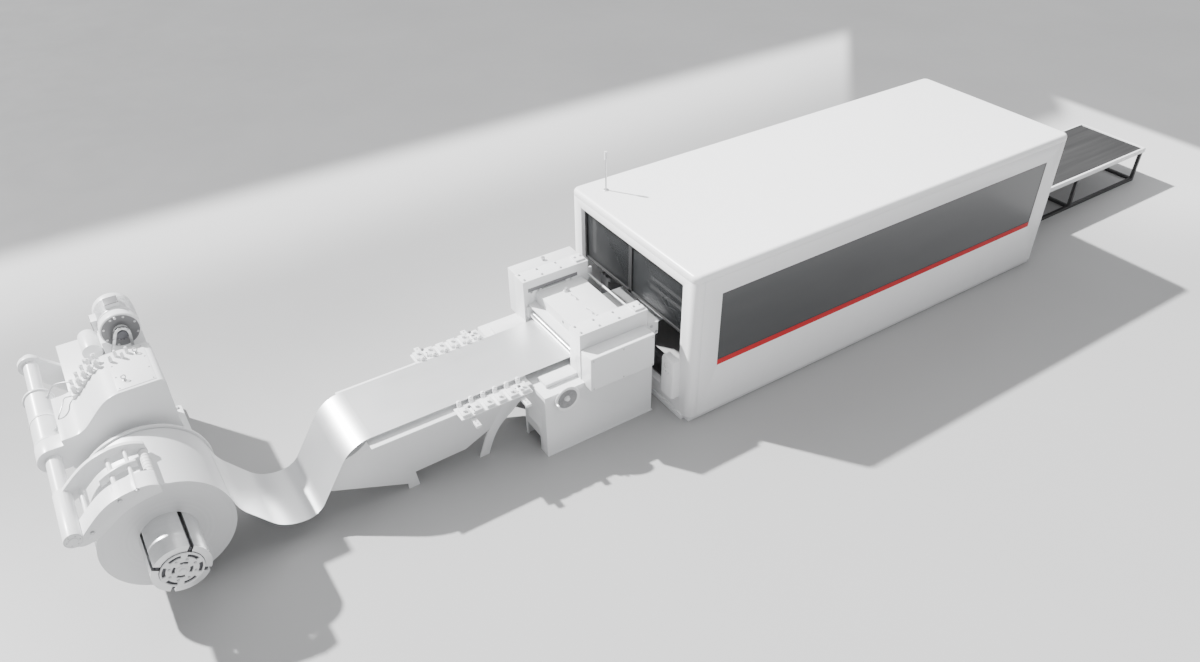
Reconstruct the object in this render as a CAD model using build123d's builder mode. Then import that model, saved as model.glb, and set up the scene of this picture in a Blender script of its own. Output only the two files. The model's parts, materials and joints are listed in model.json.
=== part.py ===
from build123d import *
import math
import os

# Coil-fed laser cutting line. Millimetres, +X along the feed, +Z up.
# The origin is on the floor, on the line's centre plane, at the entry face of the laser enclosure.

# Clearances
GAP = 0.3
PLAY = 0.05

# Strip and coil
STRIP_WIDTH = 1000
STRIP_THICKNESS = 3
PASS_LINE = 1120
COIL_X = -6410
COIL_Z = 914
COIL_RADIUS = 710
STRIP_LEAVES_COIL_AT = 12
LOOP_BOTTOM = 270
LOOP_START_X = -5245
LOOP_FLAT = 10
LOOP_SLOPE_IN = 54
LOOP_SLOPE_OUT = 57.7
LEAD_RADIUS = 600
LOOP_IN_RADIUS = 465
LOOP_OUT_RADIUS = 280
NOSE_RADIUS = 474
STRIP_END_X = 4600

# Mandrel
MANDREL_RADIUS = 305
SEGMENT_COUNT = 4
SEGMENT_WALL = 75
SEGMENT_SLOT = 48
SEGMENT_STROKE = 12
FIRST_SLOT_ANGLE = 57
MANDREL_FRONT_Y = -STRIP_WIDTH / 2 - 565
NOSE_THICKNESS = 20
NOSE_PLATE_RADIUS = 224
CORE_RADIUS = MANDREL_RADIUS - SEGMENT_WALL - SEGMENT_STROKE - 2
SHAFT_RADIUS = 90
DISC_RADIUS = 735
DISC_FRONT_Y = STRIP_WIDTH / 2 + 15
DISC_THICKNESS = 40
DISC_HUB_RADIUS = 210
DISC_HUB_LENGTH = 90

# Decoiler base, housing and stand
BED_X = (COIL_X - 740, COIL_X + 650)
BED_Y = (DISC_FRONT_Y + 145, DISC_FRONT_Y + 2305)
BED_THICKNESS = 60
ANCHOR_INSET = 60
ANCHOR_HOLE_RADIUS = 12
HOUSING_X = (COIL_X - 490, COIL_X + 530)
HOUSING_Y = (DISC_FRONT_Y + 205, DISC_FRONT_Y + 1045)
HOUSING_TOP = 2045
HOUSING_CORNER = 70
SHOULDER_TOP = 1690
HOUSING_WALL = 25
BEARING_RADIUS = 185
BEARING_SLEEVE_RADIUS = 145
BEARING_FLANGE = 30
STAND_X = (COIL_X - 470, COIL_X + 510)
STAND_Y = (HOUSING_Y[1] + 160, HOUSING_Y[1] + 1230)
STAND_TOP = 1600
FAR_LOBE = 70
PLATE = 20

# Hold-down arm
TUBE_X = COIL_X - 810
TUBE_Z = COIL_Z + 546
TUBE_RADIUS = 85
TUBE_WALL = 14
TUBE_Y = (-STRIP_WIDTH / 2 - 140, STAND_Y[1] + 110)
LOBE_RADIUS = 140
LOBE_LENGTH = 240
ACTUATOR_RADIUS = 150
ACTUATOR_END_Y = STAND_Y[0] + 250
ACTUATOR_FLANGE = 30
WEB_Y = (TUBE_Y[0], TUBE_Y[0] + 60)
FLANGE_DEPTH = 250
FLANGE_THICKNESS = 30
INNER_PLATE_Y = (60, 110)
SLEEVE_RADIUS = 93
PRESS_X = COIL_X + 50
PRESS_RADIUS = 50
PRESS_JOURNAL = 20

# Decoiler drive
MOTOR_X = COIL_X + 290
MOTOR_Z = COIL_Z + 1266
MOTOR_RADIUS = 225
MOTOR_LENGTH = 560
CHAIN_PITCH = 38.1
SHAFT_TEETH = 43
MOTOR_TEETH = 13
SPROCKET_WIDTH = 22
CHAIN_Y = HOUSING_Y[1] + 80
CHAIN_WIDTH = 44
CHAIN_HEIGHT = 30
MOTOR_SHAFT_RADIUS = 30
MANIFOLD_X = (HOUSING_X[0] + 60, HOUSING_X[0] + 450)
MANIFOLD_Y = (HOUSING_Y[1] - 220, HOUSING_Y[1] - 20)
MANIFOLD_STEPS = (95, 175, 245, 295, 335)
TANK_X = (COIL_X - 200, COIL_X + 40)
TANK_Y = (STAND_Y[0] + 130, STAND_Y[0] + 550)
TANK_HEIGHT = 150
ACCUMULATOR_RADIUS = 110

# Entry table
TABLE_END_X = -1935
TABLE_HALF = STRIP_WIDTH / 2 - 50
TABLE_PLATE = 20
TABLE_TOE_Z = 520
DECK_THICKNESS = 25
NOSE_SKIN = 12
RAIL_TOP = 1050
RAIL_HALF = STRIP_WIDTH / 2 + 120
RAIL_THICKNESS = 20
CROSS_BAR_HALF = STRIP_WIDTH / 2 + 440
GUIDE_X = (TABLE_END_X - 1065, TABLE_END_X - 65)
GUIDE_ROLLERS = 6
GUIDE_ROLLER_RADIUS = 30

# Straightener
FRAME_INNER = STRIP_WIDTH / 2 + 100
FRAME_OUTER = FRAME_INNER + 250
BASE_X = (TABLE_END_X + 15, -240)
BASE_HALF = FRAME_OUTER + 80
BASE_GAP_HALF = STRIP_WIDTH / 2 - 140
BASE_TOP = 1000
BASE_FLANGE = 15
FRAME_X = (BASE_X[0] + 590, BASE_X[1] - 40)
FRAME_TOP = BASE_TOP + 700
FRAME_PLATE = 60
LEDGE_START_X = BASE_X[0] + 120
LEDGE_HEIGHT = 55
TIE_BRACKET_END_X = -90
TIE_ROD_RADIUS = 14
GEARBOX_OUTER = FRAME_OUTER + 230
COVER_OUTER = FRAME_OUTER + 250
COVER_TOP = BASE_TOP + 470
COVER_LIP = BASE_TOP - 45
HEAD_X = (FRAME_X[0] + 190, FRAME_X[1] - 120)
HEAD_TOP = PASS_LINE + 360
HEAD_BOTTOM = PASS_LINE + 140
HEAD_PLATE = 25
HOOD_THICKNESS = 30
CHEEK = 45
PINCH_RADIUS = 55
ROLL_RADIUS = 46
JOURNAL_RADIUS = 28
ENTRY_PINCH_X = FRAME_X[0] + 105
EXIT_PINCH_X = FRAME_X[1] - 160
MIDDLE_LOWER_X = FRAME_X[1] - 540
ROLL_PITCH = 160
WHEEL_X = BASE_X[0] + 300
WHEEL_Z = BASE_TOP - 95
WHEEL_RADIUS = 185
WHEEL_SHAFT = 14

# Enclosure
HOUSE_LENGTH = 7500
HOUSE_HALF = 1465
HOUSE_TOP = 2400
PLINTH_HEIGHT = 90
PLINTH_WIDTH = 100
PLINTH_SETBACK = 40
WALL = 60
END_WALL = 100
END_DEPTH = 150
CORNER_RADIUS = 110
EDGE_RADIUS = 60
ROOF_BOTTOM = HOUSE_TOP - 110
MOUTH_HALF = HOUSE_HALF - 260
MOUTH_Z = (300, 2170)
EXIT_HALF = HOUSE_HALF - 705
EXIT_Z = (540, 1150)
WINDOW_X = (447, HOUSE_LENGTH - 435)
WINDOW_Z = (940, 2020)
STRIPE_HEIGHT = 84
STRIPE_DEPTH = 4
GLASS = 12
SHIELD_X = (50, 90)
SHIELD_BOTTOM = 1350
SHIELD_POST_Y = 30
SHIELD_POST_HALF = 35
SHIELD_FRAME = 60
PANE_THICKNESS = 8
MAST_X = 362
MAST_Y = HOUSE_HALF - 367
CONTROL_BOX_LOW = (-130, -MOUTH_HALF - 40, 360)
CONTROL_BOX_HIGH = (0, -MOUTH_HALF + 205, 980)
CONTROL_BOX_WALL = 8
CONTROL_PANEL_WALL = 30
BUTTON_Y = CONTROL_BOX_LOW[1] + 135
BUTTON_Z = 880
BUTTON_STEM = 16
BUTTON_CAP_RADIUS = 34
BUTTON_CAP_LENGTH = 26
BUTTON_TRAVEL = 8

# Cutting machine inside the enclosure
BEAM_X = (300, HOUSE_LENGTH - 2200)
BEAM_Y = (STRIP_WIDTH / 2 + 460, STRIP_WIDTH / 2 + 660)
BEAM_TOP = 980
RAIL_Y = (BEAM_Y[0] + 85, BEAM_Y[0] + 115)
RAIL_HEIGHT = 30
LEDGE_TOP = 1000
SLAT_X = (500, BEAM_X[1] - 700)
SLAT_PITCH = 250
SLAT_THICKNESS = 5
SLAT_HALF = BEAM_Y[0] - 5
GANTRY_X = (560, 780)
TRUCK_X = (520, 900)
GANTRY_Z = (1520, 1880)
GANTRY_WALL = 15
CARRIAGE_HALF = 150
HEAD_AXIS_X = 400
NOZZLE_GAP = 6
NOZZLE_TOP = 1240
CROSS_BEAMS = 5
CROSS_BEAM_WIDTH = 120
CROSS_BEAM_TOP = 300
SOURCE_LOW = (HOUSE_LENGTH - 1900, HOUSE_HALF - 665, 0)
SOURCE_HIGH = (HOUSE_LENGTH - 500, HOUSE_HALF - 185, 1600)
SOURCE_WALL = 20

# Outfeed conveyor
CONVEYOR_X = (BEAM_X[1] + 120, HOUSE_LENGTH + 4335)
CONVEYOR_HALF = EXIT_HALF - 60
CONVEYOR_TOP = 700
RIM_WIDTH = 38
RIM_HEIGHT = 85
BELT_THICKNESS = 6
DRUM_RADIUS = 36
DRUM_JOURNAL = 15
CONVEYOR_TIES = 6
LEG = 60
LEG_X = (CONVEYOR_X[0] + 100, HOUSE_LENGTH + 200, HOUSE_LENGTH + 2240, CONVEYOR_X[1] - 55)

pieces = {}


def slab(low, high, mode=Mode.ADD):
    """Adds a box between two corners to the part being built."""
    middle = [(a + b) / 2 for a, b in zip(low, high)]
    size = [b - a for a, b in zip(low, high)]
    with Locations(Location(tuple(middle))):
        Box(*size, mode=mode)


def rod(start, radius, length, axis=(0, 1, 0), mode=Mode.ADD):
    """Adds a cylinder that starts at a point and runs along an axis."""
    with Locations(Plane(origin=start, z_dir=axis).location):
        Cylinder(radius, length, align=(Align.CENTER, Align.CENTER, Align.MIN), mode=mode)


def across(y):
    """The upright plane at y. Its sketch runs along -X and Z, and extruding goes towards +Y."""
    return Plane(origin=(0, y, 0), x_dir=(-1, 0, 0), z_dir=(0, 1, 0))


def mirrored(points):
    """Turns (x, z) points into points of the across plane."""
    return [(-x, z) for x, z in points]


def sides(inner, outer):
    """The two stretches of Y between an inner and an outer distance from the centre plane."""
    return ((-outer, -inner), (inner, outer))


def direction(degrees):
    """The unit vector in X and Z at an angle above +X."""
    return (math.cos(math.radians(degrees)), math.sin(math.radians(degrees)))


# Steel strip: off the coil, through the free loop, over the table nose and into the enclosure.
sheet_middle = PASS_LINE - STRIP_THICKNESS / 2
leave_x, leave_z = direction(STRIP_LEAVES_COIL_AT)
leave_radius = COIL_RADIUS + GAP + STRIP_THICKNESS / 2
leave_point = (COIL_X + leave_radius * leave_x, COIL_Z + leave_radius * leave_z)
fall_in = math.tan(math.radians(LOOP_SLOPE_IN))
rise_out = math.tan(math.radians(LOOP_SLOPE_OUT))
lead_fall = leave_x / leave_z
drop_left = leave_point[1] - LOOP_BOTTOM - fall_in * (LOOP_START_X - leave_point[0])
lead_run = drop_left / (lead_fall - fall_in)
lead_point = (leave_point[0] + lead_run, leave_point[1] - lead_fall * lead_run)
loop_in_reach = LOOP_IN_RADIUS * math.tan(math.radians(LOOP_SLOPE_IN / 2))
loop_out_reach = LOOP_OUT_RADIUS * math.tan(math.radians(LOOP_SLOPE_OUT / 2))
loop_end_x = LOOP_START_X + loop_in_reach + LOOP_FLAT + loop_out_reach
nose_x = loop_end_x + (sheet_middle - LOOP_BOTTOM) / rise_out
strip_route = [
    leave_point,
    lead_point,
    (LOOP_START_X, LOOP_BOTTOM),
    (loop_end_x, LOOP_BOTTOM),
    (nose_x, sheet_middle),
    (STRIP_END_X, sheet_middle),
]
with BuildPart() as strip:
    with BuildSketch(across(-STRIP_WIDTH / 2)):
        with BuildLine():
            bends = [LEAD_RADIUS, LOOP_IN_RADIUS, LOOP_OUT_RADIUS, NOSE_RADIUS]
            FilletPolyline(*mirrored(strip_route), radius=bends)
        trace(line_width=STRIP_THICKNESS)
    extrude(amount=STRIP_WIDTH)
pieces["strip"] = strip

# Coil of strip on the mandrel.
with BuildPart() as coil:
    coil_start = (COIL_X, -STRIP_WIDTH / 2, COIL_Z)
    rod(coil_start, COIL_RADIUS, STRIP_WIDTH)
    rod(coil_start, MANDREL_RADIUS + GAP, STRIP_WIDTH, mode=Mode.SUBTRACT)
pieces["coil"] = coil

# Mandrel shaft: a thick core under the segments, turned down where it runs in its bearings.
with BuildPart() as mandrel_shaft:
    rod((COIL_X, MANDREL_FRONT_Y, COIL_Z), CORE_RADIUS, DISC_FRONT_Y - MANDREL_FRONT_Y)
    rod((COIL_X, DISC_FRONT_Y, COIL_Z), SHAFT_RADIUS, CHAIN_Y + CHAIN_WIDTH - DISC_FRONT_Y)
pieces["mandrel_shaft"] = mandrel_shaft

# Expanding segments: four shells that press outwards on the coil's bore.
half_turn = math.radians(180 / SEGMENT_COUNT)
wedge_tip = SEGMENT_SLOT / 2 / math.sin(half_turn)
wedge_x = wedge_tip + 2 * MANDREL_RADIUS * math.cos(half_turn)
wedge_y = 2 * MANDREL_RADIUS * math.sin(half_turn)
for index in range(SEGMENT_COUNT):
    out_x, out_z = direction(FIRST_SLOT_ANGLE + (index + 0.5) * 360 / SEGMENT_COUNT)
    segment_start = (COIL_X, MANDREL_FRONT_Y + GAP, COIL_Z)
    with BuildPart() as segment:
        with BuildSketch(Plane(origin=segment_start, x_dir=(out_x, 0, out_z), z_dir=(0, 1, 0))):
            Circle(MANDREL_RADIUS)
            Circle(MANDREL_RADIUS - SEGMENT_WALL, mode=Mode.SUBTRACT)
            with BuildLine():
                Polyline((wedge_tip, 0), (wedge_x, wedge_y), (wedge_x, -wedge_y), close=True)
            make_face(mode=Mode.INTERSECT)
        extrude(amount=DISC_FRONT_Y - MANDREL_FRONT_Y - 2 * GAP)
    pieces[f"mandrel_segment_{index + 1}"] = segment

# Nose plate of the mandrel: a disc with six outer and four inner curved slots.
nose_start = (COIL_X, MANDREL_FRONT_Y - NOSE_THICKNESS, COIL_Z)
with BuildPart() as mandrel_nose:
    rod(nose_start, NOSE_PLATE_RADIUS, NOSE_THICKNESS)
    for slots, radius, slot_sweep, width in ((6, 186, 40, 38), (4, 92, 52, 32)):
        for index in range(slots):
            with BuildSketch(Plane(origin=nose_start, x_dir=(-1, 0, 0), z_dir=(0, 1, 0))):
                Circle(radius + width / 2)
                Circle(radius - width / 2, mode=Mode.SUBTRACT)
                with BuildLine():
                    slot_start = index * 360 / slots
                    edges = [direction(slot_start), direction(slot_start + slot_sweep)]
                    Polyline((0, 0), *[(2 * radius * x, 2 * radius * y) for x, y in edges], close=True)
                make_face(mode=Mode.INTERSECT)
            extrude(amount=NOSE_THICKNESS, mode=Mode.SUBTRACT)
pieces["mandrel_nose"] = mandrel_nose

# Back disc that the coil is pushed against, with its hub.
disc_start = (COIL_X, DISC_FRONT_Y, COIL_Z)
disc_depth = DISC_THICKNESS + DISC_HUB_LENGTH
with BuildPart() as back_disc:
    rod(disc_start, DISC_RADIUS, DISC_THICKNESS)
    rod(disc_start, DISC_HUB_RADIUS, disc_depth)
    rod(disc_start, SHAFT_RADIUS + PLAY, disc_depth, mode=Mode.SUBTRACT)
pieces["back_disc"] = back_disc

# Decoiler base: floor plate, rear stand with the arm's far bearing, and the motor's saddle.
bed_middle = ((BED_X[0] + BED_X[1]) / 2, (BED_Y[0] + BED_Y[1]) / 2)
anchor_spacing_x = BED_X[1] - BED_X[0] - 2 * ANCHOR_INSET
anchor_spacing_y = BED_Y[1] - BED_Y[0] - 2 * ANCHOR_INSET
motor_front_y = STAND_Y[0] + 20
far_lobe_start = (TUBE_X, STAND_Y[1] - FAR_LOBE, TUBE_Z)
saddle_x = (MOTOR_X - MOTOR_RADIUS - 20, STAND_X[1] - 5)
saddle_y = (motor_front_y + 40, motor_front_y + 440)
with BuildPart() as decoiler_base:
    slab((BED_X[0], BED_Y[0], 0), (BED_X[1], BED_Y[1], BED_THICKNESS))
    fillet(decoiler_base.edges().filter_by(Axis.Z), 40)
    with Locations((bed_middle[0], bed_middle[1], BED_THICKNESS)):
        with GridLocations(anchor_spacing_x, anchor_spacing_y, 2, 2):
            Hole(ANCHOR_HOLE_RADIUS, depth=BED_THICKNESS)
    slab((STAND_X[0], STAND_Y[0], BED_THICKNESS), (STAND_X[1], STAND_Y[1], STAND_TOP))
    rod(far_lobe_start, LOBE_RADIUS, FAR_LOBE)
    with BuildSketch(across(far_lobe_start[1])):
        with BuildLine():
            gusset = [
                (TUBE_X + 60, TUBE_Z + LOBE_RADIUS - 15),
                (STAND_X[0], TUBE_Z - 150),
                (STAND_X[0], TUBE_Z - 620),
                (TUBE_X - 60, TUBE_Z - LOBE_RADIUS + 15),
            ]
            Polyline(*mirrored(gusset), close=True)
        make_face()
    extrude(amount=FAR_LOBE)
    rod(far_lobe_start, TUBE_RADIUS + PLAY, FAR_LOBE, mode=Mode.SUBTRACT)
    slab(
        (STAND_X[0] + PLATE, STAND_Y[0] + PLATE, BED_THICKNESS + PLATE),
        (STAND_X[1] - PLATE, far_lobe_start[1] - PLATE, STAND_TOP - PLATE),
        Mode.SUBTRACT,
    )
    slab((saddle_x[0], saddle_y[0], STAND_TOP), (saddle_x[1], saddle_y[1], MOTOR_Z - 120))
    slab(
        (saddle_x[0] + PLATE, saddle_y[0] + PLATE, STAND_TOP - PLATE),
        (saddle_x[1] - PLATE, saddle_y[1] - PLATE, MOTOR_Z - MOTOR_RADIUS - PLATE),
        Mode.SUBTRACT,
    )
    rod((MOTOR_X, motor_front_y, MOTOR_Z), MOTOR_RADIUS + PLAY, MOTOR_LENGTH, mode=Mode.SUBTRACT)
pieces["decoiler_base"] = decoiler_base

# Housing: a hollow box whose top steps down in an S curve to the arm's front bearing.
housing_depth = HOUSING_Y[1] - HOUSING_Y[0]
inner_y = (HOUSING_Y[0] + HOUSING_WALL, HOUSING_Y[1] - HOUSING_WALL)
lobe_end_y = HOUSING_Y[0] + LOBE_LENGTH
with BuildPart() as decoiler_housing:
    with BuildSketch(across(HOUSING_Y[0])):
        with BuildLine():
            right = -HOUSING_X[1]
            left = -HOUSING_X[0]
            Line((right, BED_THICKNESS), (right, HOUSING_TOP - HOUSING_CORNER))
            corner_end = (right + HOUSING_CORNER, HOUSING_TOP)
            RadiusArc((right, HOUSING_TOP - HOUSING_CORNER), corner_end, HOUSING_CORNER)
            Line(corner_end, (left - 550, HOUSING_TOP))
            Spline(
                (left - 550, HOUSING_TOP),
                (left - 300, HOUSING_TOP - 100),
                (left - 80, HOUSING_TOP - 310),
                (left + 110, SHOULDER_TOP),
                tangents=[(1, 0), (1, 0)],
            )
            Polyline(
                (left + 110, SHOULDER_TOP),
                (left + 170, SHOULDER_TOP),
                (left + 170, SHOULDER_TOP - 420),
                (left, SHOULDER_TOP - 560),
                (left, BED_THICKNESS),
                (right, BED_THICKNESS),
            )
        make_face()
    extrude(amount=housing_depth)
    rod((TUBE_X, HOUSING_Y[0], TUBE_Z), LOBE_RADIUS + 20, LOBE_LENGTH)
    lobe_low = (TUBE_X, HOUSING_Y[0], TUBE_Z - LOBE_RADIUS - 20)
    slab(lobe_low, (HOUSING_X[0] - 150, lobe_end_y, TUBE_Z + LOBE_RADIUS + 20))
    slab(
        (TUBE_X - LOBE_RADIUS, lobe_end_y, BED_THICKNESS),
        (TUBE_X + ACTUATOR_RADIUS + 2, HOUSING_Y[1], HOUSING_TOP),
        Mode.SUBTRACT,
    )
    slab(
        (HOUSING_X[0] + HOUSING_WALL, inner_y[0], BED_THICKNESS + HOUSING_WALL),
        (HOUSING_X[1] - HOUSING_WALL, inner_y[1], SHOULDER_TOP - 80),
        Mode.SUBTRACT,
    )
    slab(
        (HOUSING_X[0] + 480, inner_y[0], SHOULDER_TOP - 80),
        (HOUSING_X[1] - HOUSING_WALL, inner_y[1], HOUSING_TOP - 90),
        Mode.SUBTRACT,
    )
    slab(
        (MANIFOLD_X[0] - 3, MANIFOLD_Y[0] - 3, SHOULDER_TOP),
        (MANIFOLD_X[1] + 3, HOUSING_Y[1], HOUSING_TOP),
        Mode.SUBTRACT,
    )
    sleeve_hole = (COIL_X, HOUSING_Y[0], COIL_Z)
    rod(sleeve_hole, BEARING_SLEEVE_RADIUS + PLAY, housing_depth, mode=Mode.SUBTRACT)
    rod((TUBE_X, HOUSING_Y[0], TUBE_Z), TUBE_RADIUS + PLAY, LOBE_LENGTH, mode=Mode.SUBTRACT)
pieces["decoiler_housing"] = decoiler_housing

# Flanged bearings of the mandrel shaft, one in each wall of the housing.
sleeve_length = HOUSING_WALL + 40
bearing_start = (COIL_X, HOUSING_Y[0] - BEARING_FLANGE, COIL_Z)
bearing_depth = housing_depth + 2 * BEARING_FLANGE
with BuildPart() as shaft_bearings:
    rod(bearing_start, BEARING_RADIUS, BEARING_FLANGE)
    rod((COIL_X, HOUSING_Y[0], COIL_Z), BEARING_SLEEVE_RADIUS, sleeve_length)
    rod((COIL_X, HOUSING_Y[1], COIL_Z), BEARING_RADIUS, BEARING_FLANGE)
    rod((COIL_X, HOUSING_Y[1] - sleeve_length, COIL_Z), BEARING_SLEEVE_RADIUS, sleeve_length)
    rod(bearing_start, SHAFT_RADIUS + PLAY, bearing_depth, mode=Mode.SUBTRACT)
pieces["shaft_bearings"] = shaft_bearings

# Rotary actuator: the thick sleeve behind the lobe that turns the arm's tube.
with BuildPart() as arm_actuator:
    actuator_start = (TUBE_X, lobe_end_y, TUBE_Z)
    rod(actuator_start, ACTUATOR_RADIUS, ACTUATOR_END_Y - lobe_end_y)
    flange_start = (TUBE_X, ACTUATOR_END_Y - ACTUATOR_FLANGE, TUBE_Z)
    rod(flange_start, ACTUATOR_RADIUS + 20, ACTUATOR_FLANGE)
    rod(actuator_start, TUBE_RADIUS + PLAY, ACTUATOR_END_Y - lobe_end_y, mode=Mode.SUBTRACT)
pieces["arm_actuator"] = arm_actuator

# Pivot tube of the arm, closed at its near end, with a collar behind the far bearing.
with BuildPart() as arm_tube:
    rod((TUBE_X, TUBE_Y[0], TUBE_Z), TUBE_RADIUS, TUBE_Y[1] - TUBE_Y[0])
    rod((TUBE_X, STAND_Y[1] + GAP, TUBE_Z), TUBE_RADIUS + 25, 50)
    tube_bore = (TUBE_X, TUBE_Y[0] + 60, TUBE_Z)
    rod(tube_bore, TUBE_RADIUS - TUBE_WALL, TUBE_Y[1] - tube_bore[1], mode=Mode.SUBTRACT)
pieces["arm_tube"] = arm_tube

# Hold-down arm: near web with a wide top flange, inner plate and curved rib on one sleeve.
press_rise = math.sqrt((COIL_RADIUS + GAP + PRESS_RADIUS) ** 2 - (PRESS_X - COIL_X) ** 2)
press_z = COIL_Z + press_rise


def from_tube(points):
    """Turns (x, z) distances from the pivot tube's axis into points."""
    return [(TUBE_X + x, TUBE_Z + z) for x, z in points]


web_top = from_tube(((-9, -85), (226, 150), (442, 298), (660, 340), (800, 334), (902, 285)))
web_bottom = from_tube(((910, 180), (681, 156), (521, 105), (338, -17), (176, -108), (50, -118)))
plate_top = from_tube(((-30, 40), (67, 130), (325, 325), (544, 395), (720, 390), (901, 312)))
plate_bottom = from_tube(((915, 190), (780, 208), (544, 205), (360, 120), (200, -20), (60, -100)))
rib_top = from_tube(((390, 280), (540, 352), (680, 378), (780, 370)))
rib_bottom = from_tube(((780, 290), (660, 295), (540, 265), (390, 190)))


def curved_plate(top, bottom, y_range):
    """Adds a plate whose top and bottom edges are smooth curves, both given end to end."""
    with BuildSketch(across(y_range[0])) as face:
        with BuildLine():
            upper = Spline(*mirrored(top))
            lower = Spline(*mirrored(bottom))
            Line(upper @ 1, lower @ 0)
            Line(lower @ 1, upper @ 0)
        make_face()
    extrude(face.sketch, amount=y_range[1] - y_range[0])


arm_depth = INNER_PLATE_Y[1] - WEB_Y[0]
tie_length = INNER_PLATE_Y[0] - WEB_Y[0]
journal_start = (PRESS_X, WEB_Y[1] - 35, press_z)
journal_length = INNER_PLATE_Y[0] + 35 - journal_start[1]
with BuildPart() as hold_down_arm:
    curved_plate(web_top, web_bottom, WEB_Y)
    flange_bottom = [(x, z - FLANGE_THICKNESS) for x, z in reversed(web_top)]
    curved_plate(web_top, flange_bottom, (WEB_Y[1], WEB_Y[0] + FLANGE_DEPTH))
    curved_plate(plate_top, plate_bottom, INNER_PLATE_Y)
    curved_plate(rib_top, rib_bottom, (-235, -205))
    rod((TUBE_X, WEB_Y[0], TUBE_Z), SLEEVE_RADIUS, arm_depth)
    for tie_x, tie_z, tie_radius in ((520, 275, 26), (700, 325, 20), (180, 10, 26)):
        rod((TUBE_X + tie_x, WEB_Y[0] + 10, TUBE_Z + tie_z), tie_radius, tie_length)
    rod((TUBE_X, WEB_Y[0], TUBE_Z), TUBE_RADIUS + PLAY, arm_depth, mode=Mode.SUBTRACT)
    rod(journal_start, PRESS_JOURNAL + PLAY, journal_length, mode=Mode.SUBTRACT)
pieces["hold_down_arm"] = hold_down_arm

# Press roller between the arm's tips.
with BuildPart() as press_roller:
    barrel_start = (PRESS_X, WEB_Y[1] + 5, press_z)
    rod(barrel_start, PRESS_RADIUS, INNER_PLATE_Y[0] - 5 - barrel_start[1])
    rod((PRESS_X, journal_start[1] + 1, press_z), PRESS_JOURNAL, journal_length - 2)
pieces["press_roller"] = press_roller

# Drive motor: round body with cooling grooves, front boss and terminal boxes.
with BuildPart() as drive_motor:
    rod((MOTOR_X, motor_front_y, MOTOR_Z), MOTOR_RADIUS, MOTOR_LENGTH)
    fillet(drive_motor.edges().filter_by(GeomType.CIRCLE), 30)
    rod((MOTOR_X, motor_front_y - 20, MOTOR_Z), 75, 40)
    for groove_y in (motor_front_y + 130, motor_front_y + 430):
        with BuildSketch(Plane(origin=(MOTOR_X, groove_y, MOTOR_Z), z_dir=(0, 1, 0))):
            Circle(MOTOR_RADIUS + 1)
            Circle(MOTOR_RADIUS - 12, mode=Mode.SUBTRACT)
        extrude(amount=20, mode=Mode.SUBTRACT)
    box_y = (motor_front_y + 180, motor_front_y + 350)
    box_top = MOTOR_Z + MOTOR_RADIUS + 50
    slab((MOTOR_X - 70, box_y[0], MOTOR_Z + 150), (MOTOR_X + 90, box_y[1], box_top))
    slab((MOTOR_X - MOTOR_RADIUS - 40, box_y[0], MOTOR_Z - 20), (MOTOR_X - 150, box_y[1], MOTOR_Z + 120))
    hub_start = (MOTOR_X, motor_front_y - 20, MOTOR_Z)
    rod(hub_start, MOTOR_SHAFT_RADIUS + PLAY, 90, mode=Mode.SUBTRACT)
pieces["drive_motor"] = drive_motor


def pitch_radius(teeth):
    """Radius of the pitch circle of a chain sprocket."""
    return CHAIN_PITCH / 2 / math.sin(math.pi / teeth)


def sprocket(centre_x, centre_z, teeth, hub_radius):
    """A toothed disc with a hub that stands out on both sides."""
    tip = pitch_radius(teeth)
    start_y = CHAIN_Y + (CHAIN_WIDTH - SPROCKET_WIDTH) / 2
    with BuildPart() as wheel:
        with BuildSketch(Plane(origin=(centre_x, start_y, centre_z), z_dir=(0, 1, 0))) as disc:
            Circle(tip)
            with PolarLocations(tip, teeth):
                Circle(CHAIN_PITCH * 0.32, mode=Mode.SUBTRACT)
        extrude(disc.sketch, amount=SPROCKET_WIDTH)
        rod((centre_x, CHAIN_Y, centre_z), hub_radius, CHAIN_WIDTH)
    return wheel


# Sprockets and chain between the motor and the mandrel shaft, in the gap behind the housing.
shaft_sprocket = sprocket(COIL_X, COIL_Z, SHAFT_TEETH, 140)
with shaft_sprocket:
    rod((COIL_X, CHAIN_Y, COIL_Z), SHAFT_RADIUS + PLAY, CHAIN_WIDTH, mode=Mode.SUBTRACT)
pieces["shaft_sprocket"] = shaft_sprocket

motor_sprocket = sprocket(MOTOR_X, MOTOR_Z, MOTOR_TEETH, 48)
with motor_sprocket:
    rod((MOTOR_X, CHAIN_Y, MOTOR_Z), MOTOR_SHAFT_RADIUS, motor_front_y + 60 - CHAIN_Y)
pieces["motor_sprocket"] = motor_sprocket


def chain_face(extra):
    """The area inside a belt around both sprockets, grown by extra."""
    with BuildSketch(across(CHAIN_Y)) as face:
        with Locations((-COIL_X, COIL_Z)):
            Circle(pitch_radius(SHAFT_TEETH) + extra)
        with Locations((-MOTOR_X, MOTOR_Z)):
            Circle(pitch_radius(MOTOR_TEETH) + extra)
        make_hull()
    return face.sketch


with BuildPart() as drive_chain:
    extrude(chain_face(CHAIN_HEIGHT), amount=CHAIN_WIDTH)
    extrude(chain_face(GAP), amount=CHAIN_WIDTH, mode=Mode.SUBTRACT)
pieces["drive_chain"] = drive_chain

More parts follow.
